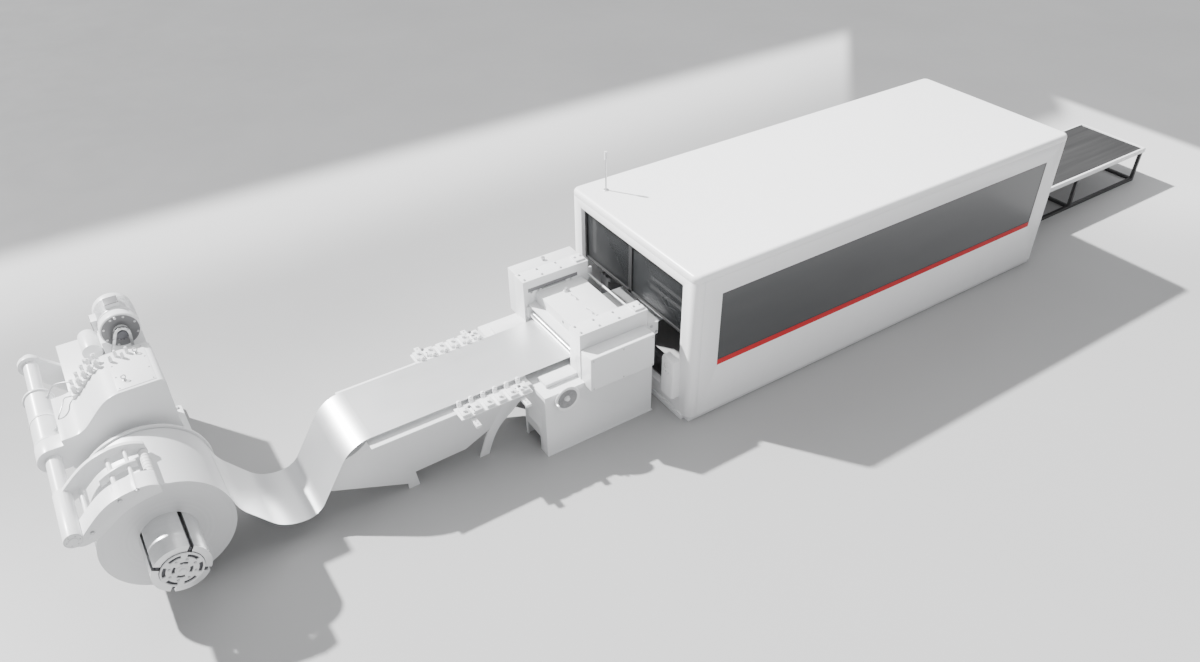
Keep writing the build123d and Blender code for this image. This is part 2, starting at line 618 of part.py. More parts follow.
# Hydraulic unit: stepped manifold with valves in the housing's shoulder, oil tank and
# accumulator on the rear stand.
step_width = (MANIFOLD_X[1] - MANIFOLD_X[0]) / len(MANIFOLD_STEPS)
tank_middle_x = (TANK_X[0] + TANK_X[1]) / 2
tank_top = STAND_TOP + TANK_HEIGHT
accumulator_z = tank_top + ACCUMULATOR_RADIUS + 60
with BuildPart() as hydraulic_unit:
    for index, step_height in enumerate(MANIFOLD_STEPS):
        step_x = MANIFOLD_X[0] + index * step_width
        step_top = SHOULDER_TOP + step_height
        slab((step_x, MANIFOLD_Y[0], SHOULDER_TOP), (step_x + step_width, MANIFOLD_Y[1], step_top))
        valve_x = step_x + step_width / 2
        rod((valve_x, MANIFOLD_Y[0] + 50, step_top), 24, 85, (0, 0, 1))
        rod((valve_x, MANIFOLD_Y[1] - 50, step_top), 20, 110, (0, 0, 1))
    slab((TANK_X[0], TANK_Y[0], STAND_TOP), (TANK_X[1], TANK_Y[1], tank_top))
    rod((tank_middle_x, TANK_Y[0] + 20, accumulator_z), ACCUMULATOR_RADIUS, 380)
    cradle_low = (tank_middle_x - 30, TANK_Y[0] + 60, tank_top)
    slab(cradle_low, (tank_middle_x + 30, TANK_Y[1] - 60, accumulator_z))
pieces["hydraulic_unit"] = hydraulic_unit

# Entry table: shaped side plates, deck, curved nose, rear legs, ties and the guides' rails.
deck_top = PASS_LINE - STRIP_THICKNESS - GAP
skin_outer = NOSE_RADIUS - STRIP_THICKNESS / 2 - GAP
side_nose = skin_outer - NOSE_SKIN
slope = math.radians(LOOP_SLOPE_OUT)
nose_centre_x = nose_x + NOSE_RADIUS * math.tan(slope / 2)
nose_centre_z = sheet_middle - NOSE_RADIUS
plate_top_z = nose_centre_z + side_nose
slope_top = (nose_centre_x - side_nose * math.sin(slope), nose_centre_z + side_nose * math.cos(slope))
toe_x = slope_top[0] - (slope_top[1] - TABLE_TOE_Z) / rise_out
foot_x = (TABLE_END_X - 1765, TABLE_END_X - 1615)
inner_half = TABLE_HALF - TABLE_PLATE
leg_ties = ((TABLE_END_X - 965, 300), (TABLE_END_X - 65, 780))
with BuildPart() as table_stand:
    for y_start, y_end in sides(inner_half, TABLE_HALF):
        with BuildSketch(across(y_start)):
            with BuildLine():
                nose_top = (-nose_centre_x, plate_top_z)
                RadiusArc(nose_top, (-slope_top[0], slope_top[1]), -side_nose)
                lower_edge = [
                    slope_top,
                    (toe_x, TABLE_TOE_Z),
                    (foot_x[0], 92),
                    (foot_x[0], 0),
                    (foot_x[1], 0),
                    (TABLE_END_X - 1645, 240),
                    (TABLE_END_X - 935, 257),
                    (TABLE_END_X - 627, 400),
                    (TABLE_END_X - 335, 517),
                    (TABLE_END_X, 740),
                    (TABLE_END_X, plate_top_z),
                    (nose_centre_x, plate_top_z),
                ]
                Polyline(*mirrored(lower_edge))
            make_face()
        extrude(amount=y_end - y_start)
        leg_left = [(-285, 800), (-319, 718), (-532, 475), (-660, 240), (-750, 0)]
        leg_right = [(-610, 0), (-545, 180), (-400, 420), (-230, 560), (-100, 690)]
        leg_left = [(TABLE_END_X + x, z) for x, z in leg_left]
        leg_right = [(TABLE_END_X + x, z) for x, z in leg_right]
        curved_plate(leg_left, leg_right, (y_start, y_end))
    slab((nose_centre_x, -TABLE_HALF, plate_top_z), (TABLE_END_X, TABLE_HALF, deck_top))
    with BuildSketch(across(-TABLE_HALF)):
        with BuildLine():
            skin_middle = skin_outer - NOSE_SKIN / 2
            skin_end_x = nose_centre_x - skin_middle * math.sin(slope)
            skin_end = (-skin_end_x, nose_centre_z + skin_middle * math.cos(slope))
            RadiusArc((-nose_centre_x, nose_centre_z + skin_middle), skin_end, -skin_middle)
        trace(line_width=NOSE_SKIN)
    extrude(amount=2 * TABLE_HALF)
    for tie_x, tie_z in ((toe_x + 60, TABLE_TOE_Z), (foot_x[0] + 20, 30), *leg_ties):
        slab((tie_x, -inner_half, tie_z), (tie_x + 60, inner_half, tie_z + 80))
    for y_start, y_end in sides(TABLE_HALF, RAIL_HALF):
        slab((nose_centre_x - 60, y_start, RAIL_TOP - RAIL_THICKNESS), (TABLE_END_X, y_end, RAIL_TOP))
    for bar_x in (GUIDE_X[0] + 150, GUIDE_X[1] - 150):
        bar_low = (bar_x - 35, -CROSS_BAR_HALF, RAIL_TOP - RAIL_THICKNESS - 40)
        slab(bar_low, (bar_x + 35, CROSS_BAR_HALF, RAIL_TOP - RAIL_THICKNESS))
pieces["table_stand"] = table_stand

# Edge guides: a sliding bar with upright rollers on each side of the strip.
guide_pitch = (GUIDE_X[1] - GUIDE_X[0]) / GUIDE_ROLLERS
for side, guide_name in ((-1, "near_guide"), (1, "far_guide")):
    edge_y = STRIP_WIDTH / 2
    roller_y = side * (edge_y + GUIDE_ROLLER_RADIUS + 1)
    bar_ys = sorted((side * (edge_y + 25), side * (edge_y + 280)))
    block_ys = sorted((side * (edge_y + 100), side * (edge_y + 260)))
    with BuildPart() as guide:
        slab((GUIDE_X[0], bar_ys[0], RAIL_TOP + GAP), (GUIDE_X[1], bar_ys[1], RAIL_TOP + 22))
        for index in range(GUIDE_ROLLERS):
            roller_x = GUIDE_X[0] + (index + 0.5) * guide_pitch
            slab((roller_x - 55, block_ys[0], RAIL_TOP + 22), (roller_x + 55, block_ys[1], RAIL_TOP + 60))
            rod((roller_x, side * (edge_y + 190), RAIL_TOP + 60), 22, 30, (0, 0, 1))
            rod((roller_x, roller_y, RAIL_TOP + 22), GUIDE_ROLLER_RADIUS, 78, (0, 0, 1))
            rod((roller_x, roller_y, RAIL_TOP + 100), 14, 14, (0, 0, 1))
    pieces[guide_name] = guide

# Straightener base: two hollow pedestals on a floor flange, tied by cross beams.
with BuildPart() as straightener_base:
    for side in (-1, 1):
        ys = sorted((side * BASE_GAP_HALF, side * BASE_HALF))
        slab((BASE_X[0], ys[0], 0), (BASE_X[1], ys[1], BASE_TOP))
        flange_ys = (ys[0] - BASE_FLANGE, ys[1] + BASE_FLANGE)
        slab((BASE_X[0], flange_ys[0], 0), (BASE_X[1] + BASE_FLANGE, flange_ys[1], BASE_FLANGE))
        inner_low = (BASE_X[0] + PLATE, ys[0] + PLATE, 0)
        slab(inner_low, (BASE_X[1] - PLATE, ys[1] - PLATE, BASE_TOP - PLATE), Mode.SUBTRACT)
        arch_ys = sorted((side * (BASE_GAP_HALF + 40), side * (BASE_HALF - 180)))
        slab((BASE_X[0], arch_ys[0], 0), (BASE_X[0] + PLATE, arch_ys[1], 230), Mode.SUBTRACT)
    for beam_x in (BASE_X[0] + 60, -1160, BASE_X[1] - 200):
        slab((beam_x, -BASE_GAP_HALF, 700), (beam_x + 140, BASE_GAP_HALF, 900))
    rod((WHEEL_X, -BASE_HALF, WHEEL_Z), WHEEL_SHAFT + PLAY, PLATE, mode=Mode.SUBTRACT)
pieces["straightener_base"] = straightener_base

# Side frames with bearing bores, recesses, entry ledges and the fixed lower rolls.
lower_roll_z = deck_top - ROLL_RADIUS
lower_pinch_z = deck_top - PINCH_RADIUS
upper_roll_z = PASS_LINE + GAP + ROLL_RADIUS
upper_pinch_z = PASS_LINE + GAP + PINCH_RADIUS
frame_bores = (
    (ENTRY_PINCH_X, lower_pinch_z),
    (EXIT_PINCH_X, lower_pinch_z),
    (MIDDLE_LOWER_X, lower_roll_z),
)
bore_reach = FRAME_INNER + FRAME_PLATE
recess_top = COVER_TOP - 40
slot_y = (FRAME_INNER, FRAME_INNER + 40)
with BuildPart() as side_frames:
    for side in (-1, 1):
        ys = sorted((side * FRAME_INNER, side * FRAME_OUTER))
        slab((FRAME_X[0], ys[0], BASE_TOP), (FRAME_X[1], ys[1], FRAME_TOP))
        recess_ys = sorted((side * bore_reach, side * FRAME_OUTER))
        recess_low = (FRAME_X[0] + 60, recess_ys[0], BASE_TOP + 20)
        slab(recess_low, (FRAME_X[1] - 60, recess_ys[1], recess_top), Mode.SUBTRACT)
        ledge_ys = sorted((side * (FRAME_INNER - 40), side * (FRAME_INNER + 160)))
        slab((LEDGE_START_X, ledge_ys[0], BASE_TOP), (FRAME_X[0], ledge_ys[1], BASE_TOP + LEDGE_HEIGHT))
        bracket_ys = sorted((side * (FRAME_OUTER - 45), side * (FRAME_OUTER - 15)))
        bracket_low = (FRAME_X[1], bracket_ys[0], PASS_LINE + 110)
        slab(bracket_low, (TIE_BRACKET_END_X, bracket_ys[1], HEAD_TOP - 60))
    for roll_x in (MIDDLE_LOWER_X - ROLL_PITCH, MIDDLE_LOWER_X + ROLL_PITCH):
        rod((roll_x, -FRAME_INNER, lower_roll_z), ROLL_RADIUS, 2 * FRAME_INNER)
    tie_rods = ((TIE_BRACKET_END_X - 110, HEAD_TOP - 100), (TIE_BRACKET_END_X - 30, PASS_LINE + 150))
    for rod_x, rod_z in tie_rods:
        rod((rod_x, -FRAME_OUTER + 15, rod_z), TIE_ROD_RADIUS, 2 * FRAME_OUTER - 30)
    for bore_x, bore_z in frame_bores:
        rod((bore_x, -bore_reach, bore_z), JOURNAL_RADIUS + PLAY, 2 * bore_reach, mode=Mode.SUBTRACT)
    slot_low = (HEAD_X[0] + 100, slot_y[0], HEAD_TOP + 10)
    slab(slot_low, (HEAD_X[0] + 500, slot_y[1], HEAD_TOP + 50), Mode.SUBTRACT)
    for hole_x in (HEAD_X[0] - 63, HEAD_X[0] + 48, HEAD_X[1] - 160):
        rod((hole_x, slot_y[0], HEAD_TOP + 30), 22, slot_y[1] - slot_y[0], mode=Mode.SUBTRACT)
pieces["side_frames"] = side_frames

# Gear housing on the far frame and cover on the near frame, both open towards the frame.
gearbox_x = (FRAME_X[0] + 20, FRAME_X[1] - 10)
with BuildPart() as drive_housing:
    slab((gearbox_x[0], FRAME_OUTER, BASE_TOP), (gearbox_x[1], GEARBOX_OUTER, FRAME_TOP))
    fillet(drive_housing.faces().sort_by(Axis.Y)[-1].edges(), 15)
    slab(
        (gearbox_x[0] + 12, FRAME_OUTER, BASE_TOP + 12),
        (gearbox_x[1] - 12, GEARBOX_OUTER - 20, FRAME_TOP - 12),
        Mode.SUBTRACT,
    )
pieces["drive_housing"] = drive_housing

cover_x = (FRAME_X[0] + 10, FRAME_X[1] - 50)
with BuildPart() as side_cover:
    slab((cover_x[0], -COVER_OUTER, COVER_LIP), (cover_x[1], -FRAME_OUTER, COVER_TOP))
    fillet(side_cover.faces().sort_by(Axis.Y)[0].edges(), 20)
    slab((cover_x[0], -BASE_HALF - GAP, COVER_LIP), (cover_x[1], -FRAME_OUTER, BASE_TOP), Mode.SUBTRACT)
    slab(
        (cover_x[0] + 10, -COVER_OUTER + 25, COVER_LIP),
        (cover_x[1] - 10, -FRAME_OUTER, COVER_TOP - 10),
        Mode.SUBTRACT,
    )
pieces["side_cover"] = side_cover

# Upper head: a channel across the line that lifts between the frames, with the fixed upper roll.
head_half = FRAME_INNER - GAP
cheek_inner = head_half - CHEEK
hood_z = HEAD_BOTTOM + 40
head_bores = (
    (ENTRY_PINCH_X, upper_pinch_z),
    (EXIT_PINCH_X, upper_pinch_z),
    (MIDDLE_LOWER_X - ROLL_PITCH / 2, upper_roll_z),
)
with BuildPart() as upper_head:
    slab((HEAD_X[0], -head_half, HEAD_BOTTOM), (HEAD_X[1], head_half, HEAD_TOP))
    slab(
        (HEAD_X[0] + HEAD_PLATE, -cheek_inner, HEAD_BOTTOM),
        (HEAD_X[1] - HEAD_PLATE, cheek_inner, HEAD_TOP - HEAD_PLATE),
        Mode.SUBTRACT,
    )
    for y_start, y_end in sides(cheek_inner, head_half):
        slab((ENTRY_PINCH_X - 75, y_start, PASS_LINE + 15), (HEAD_X[1], y_end, hood_z))
    slab((ENTRY_PINCH_X - 40, -head_half, hood_z), (HEAD_X[0], head_half, hood_z + HOOD_THICKNESS))
    fixed_roll = (MIDDLE_LOWER_X + ROLL_PITCH / 2, -cheek_inner, upper_roll_z)
    rod(fixed_roll, ROLL_RADIUS, 2 * cheek_inner)
    for bore_x, bore_z in head_bores:
        rod((bore_x, -head_half, bore_z), JOURNAL_RADIUS + PLAY, 2 * head_half, mode=Mode.SUBTRACT)
pieces["upper_head"] = upper_head


def roll(axis_x, axis_z, radius, barrel_half, journal_half):
    """A turned roll across the line, with a journal at each end."""
    with BuildPart() as turned:
        rod((axis_x, -barrel_half, axis_z), radius, 2 * barrel_half)
        rod((axis_x, -journal_half, axis_z), JOURNAL_RADIUS, 2 * journal_half)
    return turned


# Feed and straightening rolls. Lower ones run in the frames, upper ones in the head.
roll_places = zip(("entry_roll", "exit_roll", "middle_roll"), frame_bores, head_bores)
for roll_name, lower_axis, upper_axis in roll_places:
    radius = ROLL_RADIUS if roll_name == "middle_roll" else PINCH_RADIUS
    pieces[f"{roll_name}_lower"] = roll(*lower_axis, radius, FRAME_INNER - 5, bore_reach - 2)
    pieces[f"{roll_name}_upper"] = roll(*upper_axis, radius, cheek_inner - 5, head_half - 2)

# Hand wheel on its shaft in the base's near wall.
with BuildPart() as hand_wheel:
    with BuildSketch(Plane(origin=(WHEEL_X, -BASE_HALF - 48, WHEEL_Z), z_dir=(0, -1, 0))):
        Circle(WHEEL_RADIUS)
        Circle(WHEEL_RADIUS - 26, mode=Mode.SUBTRACT)
        with PolarLocations(0, 3):
            Rectangle(2 * WHEEL_RADIUS - 30, 22)
    extrude(amount=22)
    rod((WHEEL_X, -BASE_HALF - GAP, WHEEL_Z), 36, 85, (0, -1, 0))
    rod((WHEEL_X, -BASE_HALF + PLATE, WHEEL_Z), WHEEL_SHAFT, PLATE + 10, (0, -1, 0))
    rod((WHEEL_X - WHEEL_RADIUS + 14, -BASE_HALF - 65, WHEEL_Z), 14, 75, (0, -1, 0))
pieces["hand_wheel"] = hand_wheel

# Plinth of the enclosure: four bars on the floor. The entry sill reaches just past the entry face.
plinth_half = HOUSE_HALF - PLINTH_SETBACK
sill_half = plinth_half - PLINTH_WIDTH
plinth_end_x = HOUSE_LENGTH - PLINTH_SETBACK
with BuildPart() as plinth:
    for y_start, y_end in sides(sill_half, plinth_half):
        slab((PLINTH_SETBACK, y_start, 0), (plinth_end_x, y_end, PLINTH_HEIGHT))
    slab((-20, -sill_half, 0), (PLINTH_WIDTH, sill_half, PLINTH_HEIGHT))
    slab((plinth_end_x - PLINTH_WIDTH, -sill_half, 0), (plinth_end_x, sill_half, PLINTH_HEIGHT))
pieces["plinth"] = plinth

# Outer shell of the enclosure, before it is divided into its panels.
with BuildPart() as shell:
    slab((0, -HOUSE_HALF, PLINTH_HEIGHT), (HOUSE_LENGTH, HOUSE_HALF, HOUSE_TOP))
    fillet(shell.edges().filter_by(Axis.Z), CORNER_RADIUS)
    fillet(shell.faces().sort_by(Axis.Z)[-1].edges(), EDGE_RADIUS)
    slab(
        (END_WALL, -HOUSE_HALF + WALL, PLINTH_HEIGHT),
        (HOUSE_LENGTH - END_WALL, HOUSE_HALF - WALL, HOUSE_TOP - WALL),
        Mode.SUBTRACT,
    )

with BuildPart() as roof_panel:
    add(shell.part)
    slab((0, -HOUSE_HALF, ROOF_BOTTOM), (HOUSE_LENGTH, HOUSE_HALF, HOUSE_TOP), Mode.INTERSECT)
pieces["roof_panel"] = roof_panel

# Side walls with their window openings and the groove for the coloured strip.
end_x = HOUSE_LENGTH - END_DEPTH
groove_z = WINDOW_Z[0] - STRIPE_HEIGHT
for side, wall_name in ((-1, "near_wall"), (1, "far_wall")):
    wall_ys = sorted((side * (HOUSE_HALF - WALL), side * HOUSE_HALF))
    groove_ys = sorted((side * (HOUSE_HALF - STRIPE_DEPTH), side * HOUSE_HALF))
    with BuildPart() as wall:
        slab((END_DEPTH, wall_ys[0], PLINTH_HEIGHT), (end_x, wall_ys[1], ROOF_BOTTOM))
        slab((WINDOW_X[0], wall_ys[0], WINDOW_Z[0]), (WINDOW_X[1], wall_ys[1], WINDOW_Z[1]), Mode.SUBTRACT)
        slab((WINDOW_X[0], groove_ys[0], groove_z), (WINDOW_X[1], groove_ys[1], WINDOW_Z[0]), Mode.SUBTRACT)
    pieces[wall_name] = wall

with BuildPart() as entry_portal:
    add(shell.part)
    slab((0, -HOUSE_HALF, PLINTH_HEIGHT), (END_DEPTH, HOUSE_HALF, ROOF_BOTTOM), Mode.INTERSECT)
    slab((0, -MOUTH_HALF, MOUTH_Z[0]), (END_DEPTH, MOUTH_HALF, MOUTH_Z[1]), Mode.SUBTRACT)
pieces["entry_portal"] = entry_portal

with BuildPart() as exit_wall:
    add(shell.part)
    slab((end_x, -HOUSE_HALF, PLINTH_HEIGHT), (HOUSE_LENGTH, HOUSE_HALF, ROOF_BOTTOM), Mode.INTERSECT)
    slab((end_x, -EXIT_HALF, EXIT_Z[0]), (HOUSE_LENGTH, EXIT_HALF, EXIT_Z[1]), Mode.SUBTRACT)
pieces["exit_wall"] = exit_wall

# Windows and the coloured strips under them.
for side, window_name in ((-1, "near_window"), (1, "far_window")):
    pane_ys = sorted((side * (HOUSE_HALF - 5), side * (HOUSE_HALF - 5 - GLASS)))
    with BuildPart() as window:
        slab((WINDOW_X[0], pane_ys[0], WINDOW_Z[0]), (WINDOW_X[1], pane_ys[1], WINDOW_Z[1]))
    pieces[window_name] = window

with BuildPart() as accent_stripes:
    for y_start, y_end in sides(HOUSE_HALF - STRIPE_DEPTH, HOUSE_HALF):
        slab((WINDOW_X[0], y_start, groove_z), (WINDOW_X[1], y_end, WINDOW_Z[0]))
pieces["accent_stripes"] = accent_stripes

# Entry shields: a frame with a middle post and two thin dark panes above the strip.
pane_x = (SHIELD_X[0] + SHIELD_X[1] - PANE_THICKNESS) / 2
pane_z = (SHIELD_BOTTOM + 40, MOUTH_Z[1] - SHIELD_FRAME)
pane_spans = (
    (-MOUTH_HALF + SHIELD_FRAME, SHIELD_POST_Y - SHIELD_POST_HALF),
    (SHIELD_POST_Y + SHIELD_POST_HALF, MOUTH_HALF - SHIELD_FRAME),
)
with BuildPart() as entry_shields:
    slab((SHIELD_X[0], -MOUTH_HALF, SHIELD_BOTTOM), (SHIELD_X[1], MOUTH_HALF, MOUTH_Z[1]))
    for y_start, y_end in pane_spans:
        slab((SHIELD_X[0], y_start, pane_z[0]), (pane_x, y_end, pane_z[1]), Mode.SUBTRACT)
        slab((pane_x + PANE_THICKNESS, y_start, pane_z[0]), (SHIELD_X[1], y_end, pane_z[1]), Mode.SUBTRACT)
pieces["entry_shields"] = entry_shields

# Signal mast on the roof, with its lamp.
with BuildPart() as signal_mast:
    for base_z, radius, height in ((0, 40, 12), (12, 12, 470), (482, 22, 120)):
        rod((MAST_X, MAST_Y, HOUSE_TOP + base_z), radius, height, (0, 0, 1))
    fillet(signal_mast.faces().sort_by(Axis.Z)[-1].edges(), 9)
pieces["signal_mast"] = signal_mast

# Control box on the portal's near jamb, with its push button.
panel_x = CONTROL_BOX_LOW[0]
cap_end_x = panel_x - BUTTON_TRAVEL
with BuildPart() as control_box:
    slab(CONTROL_BOX_LOW, CONTROL_BOX_HIGH)
    fillet(control_box.faces().sort_by(Axis.X)[0].edges(), 25)
    hollow_low = [value + CONTROL_BOX_WALL for value in CONTROL_BOX_LOW]
    hollow_high = [value - CONTROL_BOX_WALL for value in CONTROL_BOX_HIGH]
    slab((panel_x + CONTROL_PANEL_WALL, *hollow_low[1:]), (0, *hollow_high[1:]), Mode.SUBTRACT)
    rod((panel_x, BUTTON_Y, BUTTON_Z), BUTTON_STEM + PLAY, CONTROL_PANEL_WALL, (1, 0, 0), Mode.SUBTRACT)
pieces["control_box"] = control_box

with BuildPart() as push_button:
    cap_start = (cap_end_x - BUTTON_CAP_LENGTH, BUTTON_Y, BUTTON_Z)
    rod(cap_start, BUTTON_CAP_RADIUS, BUTTON_CAP_LENGTH, (1, 0, 0))
    fillet(push_button.faces().sort_by(Axis.X)[0].edges(), 10)
    rod((cap_end_x, BUTTON_Y, BUTTON_Z), BUTTON_STEM, 45, (1, 0, 0))
pieces["push_button"] = push_button

# Machine bed: two long box beams with rails, slat ledges and low cross beams.
cross_pitch = (BEAM_X[1] - BEAM_X[0] - 80 - CROSS_BEAM_WIDTH) / (CROSS_BEAMS - 1)
with BuildPart() as machine_bed:
    for side in (-1, 1):
        ys = sorted((side * BEAM_Y[0], side * BEAM_Y[1]))
        slab((BEAM_X[0], ys[0], 0), (BEAM_X[1], ys[1], BEAM_TOP))
        hollow_low = (BEAM_X[0] + PLATE, ys[0] + PLATE, 0)
        slab(hollow_low, (BEAM_X[1] - PLATE, ys[1] - PLATE, BEAM_TOP - PLATE), Mode.SUBTRACT)
        rail_ys = sorted((side * RAIL_Y[0], side * RAIL_Y[1]))
        slab((BEAM_X[0], rail_ys[0], BEAM_TOP), (BEAM_X[1], rail_ys[1], BEAM_TOP + RAIL_HEIGHT))
        ledge_ys = sorted((side * (BEAM_Y[0] - 60), side * BEAM_Y[0]))
        slab((BEAM_X[0], ledge_ys[0], LEDGE_TOP - 60), (SLAT_X[1] + 100, ledge_ys[1], LEDGE_TOP))
    for index in range(CROSS_BEAMS):
        beam_x = BEAM_X[0] + 40 + index * cross_pitch
        slab((beam_x, -BEAM_Y[0], 0), (beam_x + CROSS_BEAM_WIDTH, BEAM_Y[0], CROSS_BEAM_TOP))
pieces["machine_bed"] = machine_bed

# Slats that carry the strip under the cutting head.
slat_count = int((SLAT_X[1] - SLAT_X[0]) // SLAT_PITCH) + 1
with BuildPart() as support_slats:
    for index in range(slat_count):
        slat_x = SLAT_X[0] + index * SLAT_PITCH
        slab((slat_x, -SLAT_HALF, LEDGE_TOP), (slat_x + SLAT_THICKNESS, SLAT_HALF, deck_top))
pieces["support_slats"] = support_slats

# Gantry beam on its two end trucks, with two guide rails on its entry face.
truck_bottom = BEAM_TOP + RAIL_HEIGHT + GAP
truck_top = truck_bottom + 150
with BuildPart() as gantry_beam:
    slab((GANTRY_X[0], -BEAM_Y[1], GANTRY_Z[0]), (GANTRY_X[1], BEAM_Y[1], GANTRY_Z[1]))
    slab(
        (GANTRY_X[0] + GANTRY_WALL, -BEAM_Y[1], GANTRY_Z[0] + GANTRY_WALL),
        (GANTRY_X[1] - GANTRY_WALL, BEAM_Y[1], GANTRY_Z[1] - GANTRY_WALL),
        Mode.SUBTRACT,
    )
    for y_start, y_end in sides(BEAM_Y[0] + 20, BEAM_Y[1]):
        slab((TRUCK_X[0], y_start, truck_bottom), (TRUCK_X[1], y_end, truck_top))
        slab((GANTRY_X[0], y_start, truck_top), (GANTRY_X[1], y_end, GANTRY_Z[0]))
    for rail_z in (GANTRY_Z[0] + 50, GANTRY_Z[1] - 80):
        slab((GANTRY_X[0] - 20, -BEAM_Y[0], rail_z), (GANTRY_X[0], BEAM_Y[0], rail_z + 30))
pieces["gantry_beam"] = gantry_beam

# Head carriage, with the cutting head on its front.
carriage_back_x = GANTRY_X[0] - 20 - GAP
carriage_front_x = carriage_back_x - 50
carriage_z = (GANTRY_Z[0] - 30, GANTRY_Z[1] + 30)
with BuildPart() as head_carriage:
    slab(
        (carriage_front_x, -CARRIAGE_HALF, carriage_z[0]),
        (carriage_back_x, CARRIAGE_HALF, carriage_z[1]),
    )
    slab((carriage_front_x - 20, -25, carriage_z[0]), (carriage_front_x, 25, carriage_z[1]))
pieces["head_carriage"] = head_carriage

with BuildPart() as cutting_head:
    slab((HEAD_AXIS_X - 45, -70, 1420), (carriage_front_x - 20 - GAP, 70, 1760))
    rod((HEAD_AXIS_X, 0, NOZZLE_TOP), 42, 180, (0, 0, 1))
    rod((HEAD_AXIS_X, 0, 1760), 28, 120, (0, 0, 1))
    with BuildSketch(Plane(origin=(HEAD_AXIS_X, 0, NOZZLE_TOP))):
        Circle(40)
    with BuildSketch(Plane(origin=(HEAD_AXIS_X, 0, PASS_LINE + NOZZLE_GAP))):
        Circle(8)
    loft()
pieces["cutting_head"] = cutting_head

# Laser source cabinet at the exit end, on the far side.
with BuildPart() as laser_source:
    slab(SOURCE_LOW, SOURCE_HIGH)
    fillet(laser_source.edges().filter_by(Axis.Z), 20)
    slab(
        (SOURCE_LOW[0] + SOURCE_WALL, SOURCE_LOW[1] + SOURCE_WALL, 0),
        (SOURCE_HIGH[0] - SOURCE_WALL, SOURCE_HIGH[1] - SOURCE_WALL, SOURCE_HIGH[2] - SOURCE_WALL),
        Mode.SUBTRACT,
    )
pieces["laser_source"] = laser_source

# Outfeed conveyor: rim frame, belt, two drums and the stand.
belt_half = CONVEYOR_HALF - RIM_WIDTH - 4
rim_inner = CONVEYOR_HALF - RIM_WIDTH
rim_bottom = CONVEYOR_TOP - RIM_HEIGHT
drum_z = CONVEYOR_TOP - BELT_THICKNESS - GAP - DRUM_RADIUS
drum_x = (CONVEYOR_X[0] + DRUM_RADIUS + 20, CONVEYOR_X[1] - DRUM_RADIUS - 60)
tie_pitch = (CONVEYOR_X[1] - CONVEYOR_X[0] - 1415) / (CONVEYOR_TIES - 1)
with BuildPart() as conveyor_frame:
    for y_start, y_end in sides(rim_inner, CONVEYOR_HALF):
        slab((CONVEYOR_X[0], y_start, rim_bottom), (CONVEYOR_X[1], y_end, CONVEYOR_TOP + 4))
    slab((CONVEYOR_X[1] - 40, -rim_inner, rim_bottom), (CONVEYOR_X[1], rim_inner, CONVEYOR_TOP + 4))
    for index in range(CONVEYOR_TIES):
        tie_x = CONVEYOR_X[0] + 780 + index * tie_pitch
        slab((tie_x, -rim_inner, drum_z - 20), (tie_x + 60, rim_inner, drum_z + 20))
    for axle_x in drum_x:
        axle_start = (axle_x, -CONVEYOR_HALF + 8, drum_z)
        rod(axle_start, DRUM_JOURNAL + PLAY, 2 * CONVEYOR_HALF - 16, mode=Mode.SUBTRACT)
pieces["conveyor_frame"] = conveyor_frame


def belt_face(radius):
    """A long rounded outline around both drums."""
    with BuildSketch(across(-belt_half)) as face:
        with Locations((-(drum_x[0] + drum_x[1]) / 2, drum_z)):
            SlotCenterToCenter(drum_x[1] - drum_x[0], 2 * radius)
    return face.sketch


with BuildPart() as conveyor_belt:
    extrude(belt_face(DRUM_RADIUS + GAP + BELT_THICKNESS), amount=2 * belt_half)
    extrude(belt_face(DRUM_RADIUS + GAP), amount=2 * belt_half, mode=Mode.SUBTRACT)
pieces["conveyor_belt"] = conveyor_belt

for drum_name, centre_x in (("tail_drum", drum_x[0]), ("drive_drum", drum_x[1])):
    with BuildPart() as drum:
        rod((centre_x, -belt_half, drum_z), DRUM_RADIUS, 2 * belt_half)
        rod((centre_x, -CONVEYOR_HALF + 10, drum_z), DRUM_JOURNAL, 2 * CONVEYOR_HALF - 20)
    pieces[drum_name] = drum

leg_y = CONVEYOR_HALF - 15 - LEG / 2
cross_half = leg_y - LEG / 2
with BuildPart() as conveyor_stand:
    for side in (-1, 1):
        ys = (side * leg_y - LEG / 2, side * leg_y + LEG / 2)
        for leg_x in LEG_X:
            slab((leg_x - LEG / 2, ys[0], 0), (leg_x + LEG / 2, ys[1], rim_bottom))
        slab((LEG_X[1] - LEG / 2, ys[0], 0), (LEG_X[-1] + LEG / 2, ys[1], LEG))
    for leg_x in LEG_X:
        slab((leg_x - LEG / 2, -cross_half, 0), (leg_x + LEG / 2, cross_half, LEG))
pieces["conveyor_stand"] = conveyor_stand

os.makedirs("parts", exist_ok=True)
for name, piece in pieces.items():
    piece.part.label = name
    export_step(piece.part, f"parts/{name}.step")
print(len(pieces), "pieces")
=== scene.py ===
import json
import math

import bpy
from mathutils import Matrix, Vector

